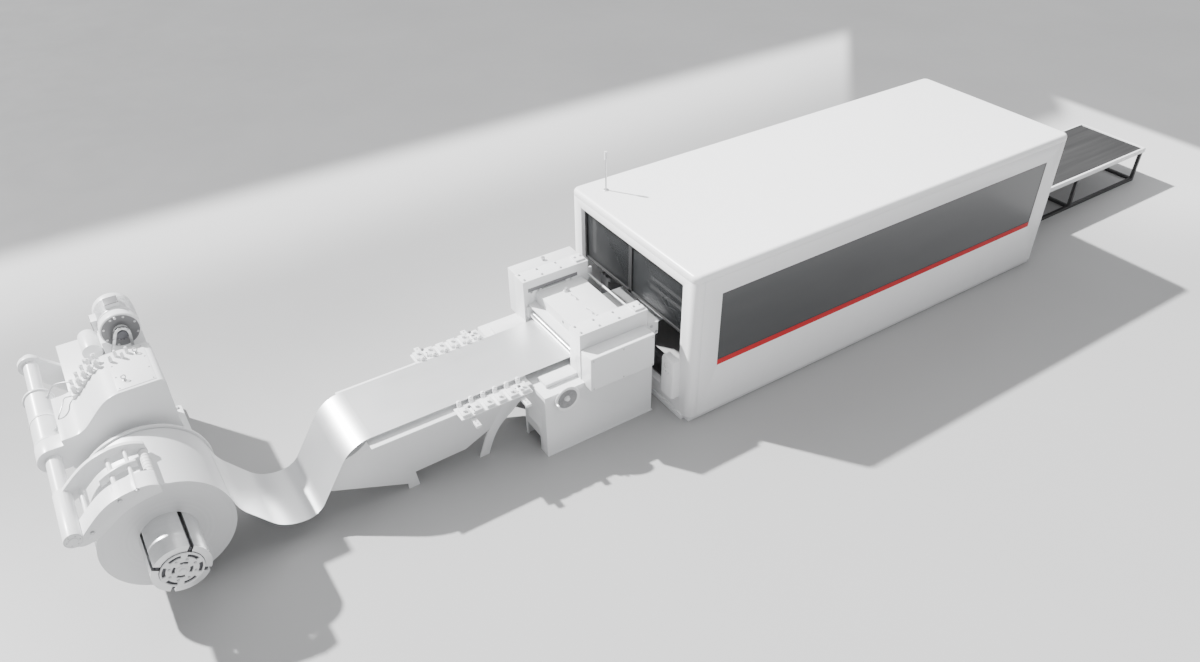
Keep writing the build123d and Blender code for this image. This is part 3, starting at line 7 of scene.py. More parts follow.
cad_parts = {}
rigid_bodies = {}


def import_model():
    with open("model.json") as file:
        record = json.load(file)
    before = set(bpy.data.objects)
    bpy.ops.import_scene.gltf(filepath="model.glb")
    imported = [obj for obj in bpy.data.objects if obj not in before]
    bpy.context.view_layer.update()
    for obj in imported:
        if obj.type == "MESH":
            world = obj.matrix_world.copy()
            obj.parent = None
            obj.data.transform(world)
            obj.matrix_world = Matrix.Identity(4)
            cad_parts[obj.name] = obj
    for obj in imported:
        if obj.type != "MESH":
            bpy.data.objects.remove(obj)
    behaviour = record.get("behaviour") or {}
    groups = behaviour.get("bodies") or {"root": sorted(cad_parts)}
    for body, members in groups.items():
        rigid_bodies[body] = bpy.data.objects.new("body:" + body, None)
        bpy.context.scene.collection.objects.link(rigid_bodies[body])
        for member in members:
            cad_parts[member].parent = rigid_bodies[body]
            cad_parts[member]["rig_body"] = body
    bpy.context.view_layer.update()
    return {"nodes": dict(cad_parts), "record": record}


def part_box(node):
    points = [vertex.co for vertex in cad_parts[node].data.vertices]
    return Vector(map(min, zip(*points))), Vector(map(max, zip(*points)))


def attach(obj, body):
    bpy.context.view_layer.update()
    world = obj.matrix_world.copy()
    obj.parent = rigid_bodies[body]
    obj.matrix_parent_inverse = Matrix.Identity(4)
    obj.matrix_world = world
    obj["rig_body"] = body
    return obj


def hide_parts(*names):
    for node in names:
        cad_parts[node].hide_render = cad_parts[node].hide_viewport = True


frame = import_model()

nodes = frame["nodes"]


# View of the whole line from above its near left corner, with the coil in front and the
# conveyor far away on the right. Solved from the straight edges of the enclosure.
def new_object(name, data):
    """A new object in the scene that shows a camera, a lamp, a mesh or a curve."""
    added = bpy.data.objects.new(name, data)
    bpy.context.scene.collection.objects.link(added)
    return added


camera_data = bpy.data.cameras.new("camera")
camera_data.lens = 27.49
camera_data.clip_end = 200
camera = new_object("camera", camera_data)
camera.location = (-6.1012, -8.7193, 8.5983)
camera.rotation_euler = [math.radians(angle) for angle in (53.45, 0.53, -33.22)]
bpy.context.scene.camera = camera

# Studio light: one hard lamp high on the far left that throws the long shadows, a large
# overhead panel, a weak fill from the camera's side and a pale surround.
key_direction = Vector((1.45, -2.05, -2.4))
key_data = bpy.data.lights.new("key", "SUN")
key_data.energy = 14.0
key_data.angle = math.radians(1.6)
key = new_object("key", key_data)
key.rotation_euler = key_direction.to_track_quat("-Z", "Y").to_euler()

for lamp_name, lamp_place, lamp_aim, lamp_size, lamp_power in (
    ("overhead_panel", (1.0, 2.0, 11.0), (1.0, 0.0, 0.0), 14.0, 1000.0),
    ("front_fill", (-4.0, -14.0, 7.0), (0.0, 0.0, 1.0), 8.0, 260.0),
):
    lamp_data = bpy.data.lights.new(lamp_name, "AREA")
    lamp_data.size = lamp_size
    lamp_data.energy = lamp_power
    lamp = new_object(lamp_name, lamp_data)
    lamp.location = lamp_place
    aim = Vector(lamp_aim) - Vector(lamp_place)
    lamp.rotation_euler = aim.to_track_quat("-Z", "Y").to_euler()

surround = bpy.data.worlds.new("surround")
surround.use_nodes = True
surround.node_tree.nodes["Background"].inputs["Color"].default_value = (0.97, 0.98, 1.0, 1)
surround.node_tree.nodes["Background"].inputs["Strength"].default_value = 0.68
bpy.context.scene.world = surround


# Shop floor: pale sealed concrete in one large flat plane. Its colour holds painted light: a big lit
# rectangle with a painted shadow streak across a corner, painted shade behind the machine, painted
# bright bands and a painted lit patch on the right. It is the stage, not part of the machine.
class Wire:
    """A socket of a material. Python sums on wires add Math nodes to the material."""

    def __init__(self, socket):
        self.socket = socket

    def add(self, kind, settings, values, output=0):
        """Adds a node: its settings first, then the values or wires of its sockets."""
        tree = self.socket.id_data
        node = tree.nodes.new("ShaderNode" + kind)
        for setting, value in settings.items():
            setattr(node, setting, value)
        for name, value in values.items():
            if isinstance(value, Wire):
                tree.links.new(value.socket, node.inputs[name])
            else:
                node.inputs[name].default_value = value
        return Wire(node.outputs[output])

    def math(self, operation, first, second=0.0):
        return self.add("Math", {"operation": operation}, {0: first, 1: second})

    def __add__(self, other):
        return self.math("ADD", self, other)

    def __sub__(self, other):
        return self.math("SUBTRACT", self, other)

    def __rsub__(self, other):
        return self.math("SUBTRACT", other, self)

    def __mul__(self, other):
        return self.math("MULTIPLY", self, other)

    __radd__ = __add__
    __rmul__ = __mul__

    def wave(self, length):
        """A sine from -1 to 1 that repeats over a length."""
        return self.math("SINE", self * (2 * math.pi / length))

    def step(self, low, high):
        """Rises smoothly from 0 at low to 1 at high."""
        settings = {"interpolation_type": "SMOOTHSTEP"}
        return self.add("MapRange", settings, {"Value": self, "From Min": low, "From Max": high})

    def stretched(self, x, y, z):
        """A place with each of its coordinates multiplied."""
        return self.add("VectorMath", {"operation": "MULTIPLY"}, {0: self, 1: (x, y, z)})

    def coordinate(self, axis):
        return self.add("SeparateXYZ", {}, {"Vector": self}, "XYZ".index(axis))

    def noise(self, scale, detail=3.0):
        return self.add("TexNoise", {}, {"Vector": self, "Scale": scale, "Detail": detail})

    def mixed(self, first, second):
        """Blends two colours by this wire."""
        colours = {"Factor": self, 6: (*first, 1), 7: (*second, 1)}
        return self.add("Mix", {"data_type": "RGBA"}, colours, 2)

    def bump(self, strength, distance):
        """Turns this height into a normal."""
        return self.add("Bump", {}, {"Height": self, "Strength": strength, "Distance": distance})


def new_material(name):
    """A material with its shader, and the wire of the place on the object."""
    material = bpy.data.materials.new(name)
    material.use_nodes = True
    tree = material.node_tree
    shader = tree.nodes["Principled BSDF"]
    place = Wire(tree.nodes.new("ShaderNodeTexCoord").outputs["Object"])
    return material, shader, place


def connect(shader, **values):
    """Sets the shader's sockets from values or wires. Underscores stand for spaces."""
    for name, value in values.items():
        socket = shader.inputs[name.replace("_", " ")]
        if isinstance(value, Wire):
            shader.id_data.links.new(value.socket, socket)
        else:
            socket.default_value = value


floor_finish, shader, place = new_material("sealed_concrete")
floor_x = place.coordinate("X")
floor_y = place.coordinate("Y")
# Painted light on the floor: a lit rectangle, a shadow streak across a corner, shade behind the machine
# and bright bands.
slant = floor_x - floor_y
painted_shadow_streak = slant.step(4.4, 5.0) * (1 - slant.step(11.2, 12.0))
painted_light_patch = (1 - floor_y.step(8.2, 9.4)) * (1 - floor_x.step(14.1, 14.5))
painted_lit_area = painted_light_patch * (1 - painted_shadow_streak * floor_y.step(1.5, 2.5))
painted_corner_light = floor_x.step(8.5, 12.5) * (1 - floor_y.step(2.6, 3.2)) * floor_y.step(-4.0, -1.5)
painted_light_level = 0.5 - floor_y.step(0.0, 4.5) * 0.22 + floor_y.step(5.0, 8.3) * 0.55 + painted_corner_light * 0.4
painted_light_and_tone = painted_lit_area * painted_light_level + place.noise(0.35, 5.0) * 0.06
connect(
    shader,
    Base_Color=painted_light_and_tone.mixed((0.15, 0.15, 0.151), (0.62, 0.62, 0.62)),
    Roughness=0.36 + place.noise(1.7) * 0.14,
    Specular_IOR_Level=0.35,
)
bpy.ops.mesh.primitive_plane_add(size=140)
floor = bpy.context.object
floor.name = "floor"
floor.data.materials.append(floor_finish)


# Steel strip: cold-rolled mild steel, 1 m wide, pulled off the coil through the free loop.
# Its rolling lines run along its length, so they only change across it.
def coat(node_name, *materials):
    """Gives a node of the frame its finish."""
    data = nodes[node_name].data
    data.materials.clear()
    for material in materials:
        data.materials.append(material)


strip_finish, shader, place = new_material("cold_rolled_strip")
rolling_lines = place.stretched(0.35, 60.0, 0.35).noise(4.0, 4.0)
oil_film = place.noise(1.3, 2.0)
connect(
    shader,
    Base_Color=(rolling_lines * 0.5 + oil_film * 0.5).mixed((0.66, 0.665, 0.67), (0.84, 0.845, 0.85)),
    Metallic=0.85,
    Roughness=0.32 + rolling_lines * 0.1 + oil_film * 0.06,
    Normal=rolling_lines.bump(0.08, 0.0004),
)
coat("strip", strip_finish)

# Coil: the same strip wound tight on itself. Its ends show the turns as fine rings, and its
# outside shows the rolling lines round it.
coil_axis = Vector((-6.41, 0.0, 0.914))


def distance_from_axis(place, axis_x, axis_z):
    """How far a place is from an axle that runs across the line."""
    centred = place.add("VectorMath", {"operation": "SUBTRACT"}, {0: place, 1: (axis_x, 0, axis_z)})
    flat = centred.stretched(1, 0, 1)
    return flat.add("VectorMath", {"operation": "LENGTH"}, {0: flat}, 1)


coil_finish, shader, place = new_material("wound_coil")
radius = distance_from_axis(place, coil_axis.x, coil_axis.z)
turns = radius.wave(0.0062)
bundle = radius.add("TexNoise", {"noise_dimensions": "1D"}, {"W": radius, "Scale": 34.0, "Detail": 4.0})
coil_lines = place.stretched(0.3, 70.0, 0.3).noise(3.0, 3.0)
coil_tone = bundle * 0.3 + turns * 0.05 + coil_lines * 0.3
connect(
    shader,
    Base_Color=coil_tone.mixed((0.62, 0.625, 0.63), (0.84, 0.845, 0.85)),
    Metallic=0.35,
    Roughness=0.4 + bundle * 0.1,
    Normal=(turns * 0.5 + bundle).bump(0.1, 0.0012),
)
coat("coil", coil_finish)


# Mandrel shells: four cast shells that wedges spread inside the coil, turned bright outside.
# A gib bar screwed to the core runs in each slot and keeps the shells apart. The gibs are nearly
# black: painted shade deep in the slots.
def turned_steel(name, dark, bright, lines, roughness):
    """Bare steel that was turned on a lathe, with its tool marks round an axle across the line."""
    material, shader, place = new_material(name)
    marks = place.stretched(0.2, lines, 0.2).noise(5.0, 4.0)
    handling = place.noise(6.0, 4.0)
    connect(
        shader,
        Base_Color=(marks * 0.45 + handling * 0.55).mixed(dark, bright),
        Metallic=0.9,
        Roughness=roughness + handling * 0.16,
        Normal=marks.bump(0.12, 0.0006),
    )
    return material


def picked(*pieces):
    """Selects these pieces and no others, and makes the first one active."""
    bpy.ops.object.select_all(action="DESELECT")
    for piece in pieces:
        piece.select_set(True)
    bpy.context.view_layer.objects.active = pieces[0]
    return pieces[0]


def finish(piece, name, material, body="line", slot=None):
    """Names a finished piece, gives it its coat and lets it ride on its body."""
    usual_slots = {"zinc_plated": "bright_steel", "white_powder_coat": "painted_white"}
    slot = slot or usual_slots.get(material.name, "painted_light_grey")
    piece.name = name
    piece.data.name = name
    piece.data.materials.clear()
    piece.data.materials.append(material)
    picked(piece)
    bpy.ops.object.shade_smooth_by_angle(angle=math.radians(32))
    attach(piece, body)
    return piece


def joined(pieces):
    """Several meshes made one."""
    whole = picked(*pieces)
    if len(pieces) > 1:
        bpy.ops.object.join()
    return whole


def moved(piece, matrix):
    """Moves a piece in its mesh."""
    piece.data.transform(matrix)
    return piece


def copied(piece, matrix):
    """A copy with a mesh of its own, placed in its mesh."""
    data = piece.data.copy()
    data.transform(matrix)
    if matrix.determinant() < 0:
        data.flip_normals()
    return new_object(piece.name, data)


def discarded(*pieces):
    """Takes pattern pieces away once their copies are made."""
    for piece in pieces:
        bpy.data.objects.remove(piece)


def block(low, high, edge, segments=2):
    """A block between two corners with its edges broken."""
    middle = [(a + b) / 2 for a, b in zip(low, high)]
    size = [b - a for a, b in zip(low, high)]
    bpy.ops.mesh.primitive_cube_add(size=1, location=middle, scale=size)
    piece = bpy.context.object
    bpy.ops.object.transform_apply()
    bpy.ops.object.mode_set(mode="EDIT")
    bpy.ops.mesh.select_all(action="SELECT")
    bpy.ops.mesh.bevel(offset=edge, segments=segments, affect="EDGES")
    bpy.ops.object.mode_set(mode="OBJECT")
    return piece


shell_steel = turned_steel("turned_shell", (0.52, 0.525, 0.53), (0.84, 0.845, 0.85), 90.0, 0.26)
oiled_steel_and_slot_shade = turned_steel("oiled_core_and_slot_shade", (0.045, 0.045, 0.05), (0.14, 0.14, 0.15), 60.0, 0.38)
for shell in range(1, 5):
    coat(f"mandrel_segment_{shell}", shell_steel)
# The gibs take the nearly black oiled steel: painted shade deep in the slots.
gib = block((0.216, -1.06, -0.012), (0.27, 0.5, 0.012), 0.002)
gibs = []
for quarter in range(4):
    turn = Matrix.Rotation(-math.radians(57 + 90 * quarter), 4, "Y")
    gibs.append(copied(gib, Matrix.Translation(coil_axis) @ turn))
discarded(gib)
finish(joined(gibs), "mandrel_gibs", oiled_steel_and_slot_shade, "mandrel", "bright_steel")


# Mandrel shaft and nose plate: a forged, oiled core, closed by a flame-cut plate with curved
# windows. Eight bolts hold the plate, and a turned cap covers the centre.
def on(axle, y):
    """The point of an axle across the line that lies at a y."""
    return (axle.x, y, axle.z)


def solid(*outline):
    """A lathe profile without a bore: the outline's points, led to the axis at both ends."""
    return [(0.0, outline[0][1]), *outline, (0.0, outline[-1][1])]


def turned(profile, start, axis, steps=48):
    """A lathe part: (radius, along) points spun round an axis that leaves from start."""
    along = Vector(axis).normalized()
    outward = along.orthogonal().normalized()
    start = Vector(start)
    points = [start + outward * radius + along * length for radius, length in profile]
    data = bpy.data.meshes.new("profile")
    data.from_pydata(points, [(i, i + 1) for i in range(len(points) - 1)], [])
    piece = picked(new_object("profile", data))
    bpy.ops.object.mode_set(mode="EDIT")
    bpy.ops.mesh.select_all(action="SELECT")
    bpy.ops.mesh.spin(steps=steps, angle=2 * math.pi, center=start, axis=along)
    bpy.ops.mesh.select_all(action="SELECT")
    bpy.ops.mesh.remove_doubles(threshold=0.00005)
    bpy.ops.mesh.normals_make_consistent(inside=False)
    bpy.ops.object.mode_set(mode="OBJECT")
    return piece


def sprayed_paint(name, colour, roughness, floor_darkening=0.1):
    """Sprayed machine paint: faint orange peel, uneven gloss, and colour darker and rougher towards the
    floor.
    """
    material, shader, place = new_material(name)
    peel = place.noise(420.0, 2.0)
    cloud = place.noise(1.6, 5.0)
    grime = place.stretched(1.0, 1.0, 0.25).noise(7.0, 5.0).step(0.52, 0.8)
    height = place.coordinate("Z")
    # Colour darker and gloss lower towards the floor.
    darker_near_floor = (1 - height.step(0.0, 0.45)) * floor_darkening
    tone = cloud * 0.12 + grime * 0.07 + darker_near_floor
    darker = tuple(value * 0.72 for value in colour)
    connect(
        shader,
        Base_Color=tone.mixed(colour, darker),
        Roughness=roughness + cloud * 0.1 + darker_near_floor * 0.3,
        Normal=peel.bump(0.05, 0.0003),
        Coat_Weight=0.15,
        Coat_Roughness=0.2,
    )
    return material


light_paint = sprayed_paint("light_grey_paint", (0.78, 0.785, 0.79), 0.33)
machine_paint = sprayed_paint("machine_grey_paint", (0.66, 0.665, 0.67), 0.36)
# Dark grey paint. On the motor's flange and cable box lids, the head's hole discs, the frames' gap
# strips and the machine bed it is painted shade.
dark_paint_and_shade = sprayed_paint("dark_grey_paint_and_shade", (0.16, 0.16, 0.165), 0.42)
zinc = turned_steel("zinc_plated", (0.46, 0.465, 0.47), (0.7, 0.705, 0.71), 3.0, 0.34)


def softened(node_name, width, material=light_paint):
    """A part as the workshop leaves it: the node's shape with its edges broken."""
    source = nodes[node_name]
    piece = picked(new_object(node_name + "_body", source.data.copy()))
    bpy.ops.object.mode_set(mode="EDIT")
    bpy.ops.mesh.select_all(action="SELECT")
    bpy.ops.mesh.remove_doubles(threshold=0.00002)
    bpy.ops.mesh.dissolve_limited(angle_limit=math.radians(0.6))
    bpy.ops.object.mode_set(mode="OBJECT")
    rounding = piece.modifiers.new("edges", "BEVEL")
    rounding.width = width
    rounding.segments = 2
    rounding.limit_method = "ANGLE"
    rounding.angle_limit = math.radians(40)
    rounding.use_clamp_overlap = True
    rounding.miter_outer = "MITER_ARC"
    bpy.ops.object.modifier_apply(modifier="edges")
    parts = frame["record"]["subparts"]
    slot = next(part["material_slot"] for part in parts if part["node"] == node_name)
    finish(piece, node_name + "_body", material, source["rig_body"], slot)
    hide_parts(node_name)


# Hexagon bolt with a washer, the pattern for all bolted joints: forged head with a turned
# chamfer, 1 unit across its corners, copied to each hole at its own size.
bpy.ops.mesh.primitive_cylinder_add(vertices=6, radius=0.5, depth=0.36, location=(0, 0, 0.28))
bolt_pattern = bpy.context.object
bpy.ops.object.transform_apply()
for face in bolt_pattern.data.polygons:
    face.select = face.normal.z > 0.9
bpy.ops.object.mode_set(mode="EDIT")
bpy.ops.mesh.select_mode(type="FACE")
bpy.ops.mesh.bevel(offset=0.06, segments=1, affect="EDGES")
bpy.ops.object.mode_set(mode="OBJECT")
washer = turned(solid((0.62, 0.1), (0.66, 0.06), (0.66, 0.0)), (0, 0, 0), (0, 0, 1), 16)
bolt_pattern = joined([bolt_pattern, washer])


def bolts(name, places, size, normal=(0, 0, 1), body="line"):
    """Bolt heads on a face: a copy of the pattern at each place, joined into one piece."""
    turn = Vector((0, 0, 1)).rotation_difference(Vector(normal)).to_matrix().to_4x4()
    heads = []
    for index, point in enumerate(places):
        twist = Matrix.Rotation(index * 0.61, 4, "Z") @ Matrix.Scale(size, 4)
        heads.append(copied(bolt_pattern, Matrix.Translation(point) @ turn @ twist))
    finish(joined(heads), name, zinc, body, "bright_steel")


def ring_places(centre, radius, count, first=0.0):
    """Places round a circle in an upright plane across the line."""
    x, y, z = centre
    angles = [math.radians(first + 360 * index / count) for index in range(count)]
    return [(x + radius * math.cos(angle), y, z + radius * math.sin(angle)) for angle in angles]


coat("mandrel_shaft", oiled_steel_and_slot_shade)
softened("mandrel_nose", 0.003)
nose_centre = on(coil_axis, -1.085)
nose_profile = solid((0.03, 0.034), (0.036, 0.028), (0.036, 0.012), (0.062, 0.008), (0.066, 0.0))
nose_cap = turned(nose_profile, nose_centre, (0, -1, 0))
finish(nose_cap, "mandrel_nose_cap", light_paint, "mandrel")
bolts("mandrel_nose_bolts", ring_places(nose_centre, 0.139, 8, 12), 0.026, (0, -1, 0), "mandrel")


# Back disc: a flame-cut steel plate with a welded hub and eight ribs behind it, which the
# coil is pushed against. Twelve bolts hold its hub to the shaft's shoulder.
def cut_plate(outline, depth):
    """A flat plate cut from sheet: a closed row of points, pushed out along a vector."""
    data = bpy.data.meshes.new("plate")
    data.from_pydata([Vector(point) for point in outline], [], [list(range(len(outline)))])
    piece = picked(new_object("plate", data))
    bpy.ops.object.mode_set(mode="EDIT")
    bpy.ops.mesh.select_all(action="SELECT")
    bpy.ops.mesh.extrude_region_move(TRANSFORM_OT_translate={"value": depth})
    bpy.ops.mesh.select_all(action="SELECT")
    bpy.ops.mesh.normals_make_consistent(inside=False)
    bpy.ops.object.mode_set(mode="OBJECT")
    return piece


softened("back_disc", 0.003, machine_paint)
rib_corners = ((0.205, 0.554), (0.66, 0.554), (0.66, 0.566), (0.205, 0.636))
rib = cut_plate([(x, y, -0.006) for x, y in rib_corners], (0, 0, 0.012))
ribs = []
for eighth in range(8):
    turn = Matrix.Rotation(math.radians(45 * eighth), 4, "Y")
    ribs.append(copied(rib, Matrix.Translation(coil_axis) @ turn))
discarded(rib)
finish(joined(ribs), "back_disc_ribs", machine_paint, "mandrel")
hub_back = on(coil_axis, 0.645)
bolts("back_disc_bolts", ring_places(hub_back, 0.16, 12), 0.03, (0, 1, 0), "mandrel")


# Decoiler base: floor plate, rear stand with the far bearing of the arm, and the motor's
# saddle, welded from plate and painted. Four anchors, two doors and vents in its walls.
def facing(place, normal):
    """Stands a flat thing on an upright face: its Z along the face's normal, its Y up."""
    out = Vector(normal)
    up = Vector((0, 0, 1))
    turn = Matrix((up.cross(out), up, out)).transposed().to_4x4()
    return Matrix.Translation(place) @ turn


def door(name, place, normal, width, height, material=light_paint):
    """A sheet steel door on a wall, with two hinges and a swing handle."""
    stand = facing(place, normal)
    leaf = block((-width / 2, -height / 2, 0), (width / 2, height / 2, 0.009), 0.003)
    finish(moved(leaf, stand), name, material)
    barrel = solid((0.007, -0.035), (0.007, 0.035))
    plate = solid((0.016, 0.008), (0.02, 0.004), (0.02, 0.0))
    hinge_places = [(-width / 2 - 0.003, side * height * 0.34, 0.008) for side in (-1, 1)]
    fittings = [turned(barrel, hinge_place, (0, 1, 0), 12) for hinge_place in hinge_places]
    lever_x = width / 2 - 0.045
    fittings.append(turned(plate, (lever_x, 0, 0.009), (0, 0, 1), 20))
    fittings.append(block((lever_x - 0.008, -0.075, 0.015), (lever_x + 0.008, 0.014, 0.027), 0.005, 3))
    finish(moved(joined(fittings), stand), name + "_fittings", zinc)


def louvres(name, place, normal, width, height, count, material=light_paint):
    """Pressed louvres in a wall: a row of hooded slits."""
    pitch = height / count
    hood = [(-width / 2, 0, -0.001), (-width / 2, pitch * 0.62, -0.001), (-width / 2, 0.002, 0.009)]
    pattern = cut_plate(hood, (width, 0, 0))
    stand = facing(place, normal)
    rises = [pitch * index - height / 2 for index in range(count)]
    rows = [copied(pattern, stand @ Matrix.Translation((0, rise, 0))) for rise in rises]
    discarded(pattern)
    finish(joined(rows), name, material)


softened("decoiler_base", 0.006)
anchor_places = [(x, y, 0.06) for x in (-7.09, -5.82) for y in (0.72, 2.76)]
bolts("decoiler_anchors", anchor_places, 0.046)
door("stand_side_door", (-5.9, 2.25, 0.86), (1, 0, 0), 0.72, 1.1)
door("stand_rear_door", (-6.39, 2.79, 0.8), (0, 1, 0), 0.7, 1.00)
louvres("stand_vents", (-6.88, 2.2, 0.62), (-1, 0, 0), 0.5, 0.44, 11)
bolts("saddle_bolts", [(-6.392, y, 1.6) for y in (1.84, 1.98, 2.12)], 0.022)

# Decoiler housing: a welded box whose cover steps down in an S curve to the arm's lobe. Its
# top is closed by a screwed plate, with lifting eyes and a door towards the strip.
softened("decoiler_housing", 0.006)
housing_top = 2.0505
cover = block((-6.372, 0.76, housing_top - 0.006), (-5.96, 1.52, housing_top), 0.002)
finish(cover, "housing_cover", light_paint)
cover_screws = [(x, y, housing_top) for x in (-6.345, -5.987) for y in (0.79, 1.02, 1.26, 1.49)]
bolts("housing_cover_screws", cover_screws, 0.016)
eye_profile = solid((0.022, 0.0), (0.022, 0.008), (0.01, 0.014), (0.01, 0.022))
eyes = []
for eye_x, eye_y in ((-6.27, 0.92), (-6.06, 1.38)):
    eyes.append(turned(eye_profile, (eye_x, eye_y, housing_top), (0, 0, 1), 16))
    bpy.ops.mesh.primitive_torus_add(
        major_radius=0.024, minor_radius=0.007, major_segments=24, minor_segments=8,
        location=(eye_x, eye_y, 2.098), rotation=(math.pi / 2, 0, 0),
    )
    bpy.ops.object.transform_apply()
    eyes.append(bpy.context.object)
finish(joined(eyes), "housing_lifting_eyes", zinc)
door("housing_door", (-5.88, 1.14, 0.8), (1, 0, 0), 0.6, 1.05)
louvres("housing_vents", (-6.9, 1.14, 0.62), (-1, 0, 0), 0.46, 0.36, 9)


# Shaft bearings: flanged cast housings with eight bolts each, and a grease nipple on top.
def turned_row(name, profile, places, axis, steps, material=zinc, body="line", slot=None):
    """Like turned pieces, one at each place, made one piece."""
    finish(joined([turned(profile, place, axis, steps) for place in places]), name, material, body, slot)


cast_iron = sprayed_paint("cast_grey", (0.34, 0.34, 0.35), 0.5)
softened("shaft_bearings", 0.004, cast_iron)
for face_name, face_y, face_side in (("near", 0.69, -1), ("far", 1.59, 1)):
    face_places = ring_places(on(coil_axis, face_y), 0.15, 8, 22)
    bolts(f"{face_name}_bearing_bolts", face_places, 0.03, (0, face_side, 0))
nipple_profile = solid((0.004, 0.026), (0.005, 0.02), (0.003, 0.016), (0.007, 0.01), (0.007, 0.0))
nipple_places = [(coil_axis.x, y, coil_axis.z + 0.184) for y in (0.705, 1.575)]
turned_row("grease_nipples", nipple_profile, nipple_places, (0, 0, 1), 12)

# Arm actuator: a turned rotary cylinder round the pivot tube, bolted to the lobe in front and
# closed by a flange behind. Two ports take its oil pipes.
softened("arm_actuator", 0.004)
pivot = Vector((-7.22, 0.0, 1.46))
bolts("actuator_flange_bolts", ring_places(on(pivot, 1.97), 0.145, 12, 15), 0.022, (0, 1, 0))
actuator_band = [(0.149, 0.0), (0.156, 0.004), (0.156, 0.036), (0.149, 0.04)]
band_places = [on(pivot, y) for y in (0.97, 1.42)]
turned_row("actuator_bands", actuator_band, band_places, (0, 1, 0), 64, light_paint)
port_profile = solid((0.013, 0.034), (0.016, 0.03), (0.016, 0.012), (0.022, 0.01), (0.022, 0.0))
port_places = [(pivot.x + 0.105, y, pivot.z + 0.105) for y in (1.12, 1.8)]
turned_row("actuator_ports", port_profile, port_places, (1, 0, 1), 18)

# Pivot tube: thick-walled steel tube with a welded end plate in front, with a turned cap and
# its grease fittings, and a set collar with two screws behind the far bearing.
softened("arm_tube", 0.004)
tube_profile = solid((0.04, 0.016), (0.044, 0.012), (0.044, 0.006), (0.078, 0.004), (0.082, 0.0))
tube_cap = turned(tube_profile, on(pivot, -0.64), (0, -1, 0))
finish(tube_cap, "arm_tube_cap", light_paint, "arm")
bolts("arm_tube_cap_screws", ring_places(on(pivot, -0.645), 0.062, 6), 0.012, (0, -1, 0), "arm")
lower_places = [(pivot.x, y, pivot.z - 0.084) for y in (-0.6, -0.45)]
turned_row("arm_tube_nipples", nipple_profile, lower_places, (0, 0, -1), 12, body="arm")
for screw_name, screw_side in (("front", 1), ("back", -1)):
    screw_place = (pivot.x + screw_side * 0.109, 2.816, pivot.z)
    bolts(f"collar_screw_{screw_name}", [screw_place], 0.014, (screw_side, 0, 0), "arm")

# Hold-down arm: flame-cut side plates with a bent top flange, joined by welded ties. Nuts
# close the ties on the near plate.
softened("hold_down_arm", 0.003)
tie_offsets = ((0.52, 0.275), (0.7, 0.325), (0.18, 0.01))
tie_ends = [(pivot.x + dx, -0.64, pivot.z + dz) for dx, dz in tie_offsets]
bolts("arm_tie_nuts", tie_ends, 0.04, (0, -1, 0), "arm")
plate_ends = [(x, 0.11, z) for x, y, z in tie_ends]
bolts("arm_tie_heads", plate_ends, 0.04, (0, 1, 0), "arm")

# Press roller: a steel tube with a rubber cover, grooved so that oil can leave the strip,
# between two turned collars.
roller_rubber, shader, place = new_material("roller_rubber")
rubber_wear = place.noise(9.0, 3.0)
connect(
    shader,
    Base_Color=rubber_wear.mixed((0.8, 0.8, 0.8), (0.62, 0.62, 0.62)),
    Roughness=0.55 + rubber_wear * 0.1,
    Normal=place.noise(300.0).bump(0.1, 0.0004),
)
press_axis = Vector((-6.36, 0.0, 1.67265))
barrel_length = 0.63
drawn_length = 0.685
roller_profile = [(0.046, 0.0), (0.05, 0.004)]
for groove in range(12):
    groove_y = 0.036 + groove * 0.0578
    roller_profile += [(0.05, groove_y), (0.0465, groove_y + 0.003)]
    roller_profile += [(0.0465, groove_y + 0.006), (0.05, groove_y + 0.009)]
roller_profile += [(0.05, 0.681), (0.046, drawn_length)]
roller_profile = [(radius, y * barrel_length / drawn_length) for radius, y in roller_profile]
press_barrel = turned(solid(*roller_profile), on(press_axis, -0.575), (0, 1, 0))
finish(press_barrel, "press_roller_body", roller_rubber, "press_roller", "rubber_light")
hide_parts("press_roller")

# Drive motor: cast aluminium with cooling fins and a fan cowl, on its welded saddle. Its bolted
# flange is dark grey, painted shade on the near face, and two boxes take the cables under lids that
# are dark grey as painted shade.
softened("drive_motor", 0.004)
motor_axis = Vector((-6.12, 0.0, 2.18))
bore = 0.085
flange_profile = [(bore, 0.0), (bore, 0.007), (0.204, 0.007), (0.208, 0.003), (0.208, 0.0), (bore, 0.0)]
# The flange is dark grey as painted shade on the motor's near face.
motor_flange = turned(flange_profile, on(motor_axis, 1.741), (0, -1, 0), 64)
finish(motor_flange, "motor_flange", dark_paint_and_shade, slot="painted_mid_grey")
bolts("motor_flange_bolts", ring_places(on(motor_axis, 1.734), 0.186, 8, 22), 0.022, (0, -1, 0))
fin_profile = [(0.221, 0.0), (0.231, 0.001), (0.231, 0.005), (0.221, 0.006)]
fin_places = [on(motor_axis, 1.91 + 0.022 * index) for index in range(12)]
turned_row("motor_fins", fin_profile, fin_places, (0, 1, 0), 48, light_paint, slot="painted_mid_grey")
grille = []
for inner in (0.055, 0.095, 0.135, 0.175):
    outer = inner + 0.006
    wire = [(inner, 0.0), (inner, 0.005), (outer, 0.005), (outer, 0.0)]
    grille.append(turned(wire, on(motor_axis, 2.299), (0, 1, 0)))
spoke = block((0.03, 2.298, -0.004), (0.186, 2.303, 0.004), 0.001)
for quarter in range(4):
    turn = Matrix.Rotation(math.radians(45 + 90 * quarter), 4, "Y")
    grille.append(copied(spoke, Matrix.Translation(motor_axis) @ turn))
discarded(spoke)
finish(joined(grille), "motor_cowl_grille", dark_paint_and_shade, slot="painted_mid_grey")
top_face = 2.462
side_face = -6.392
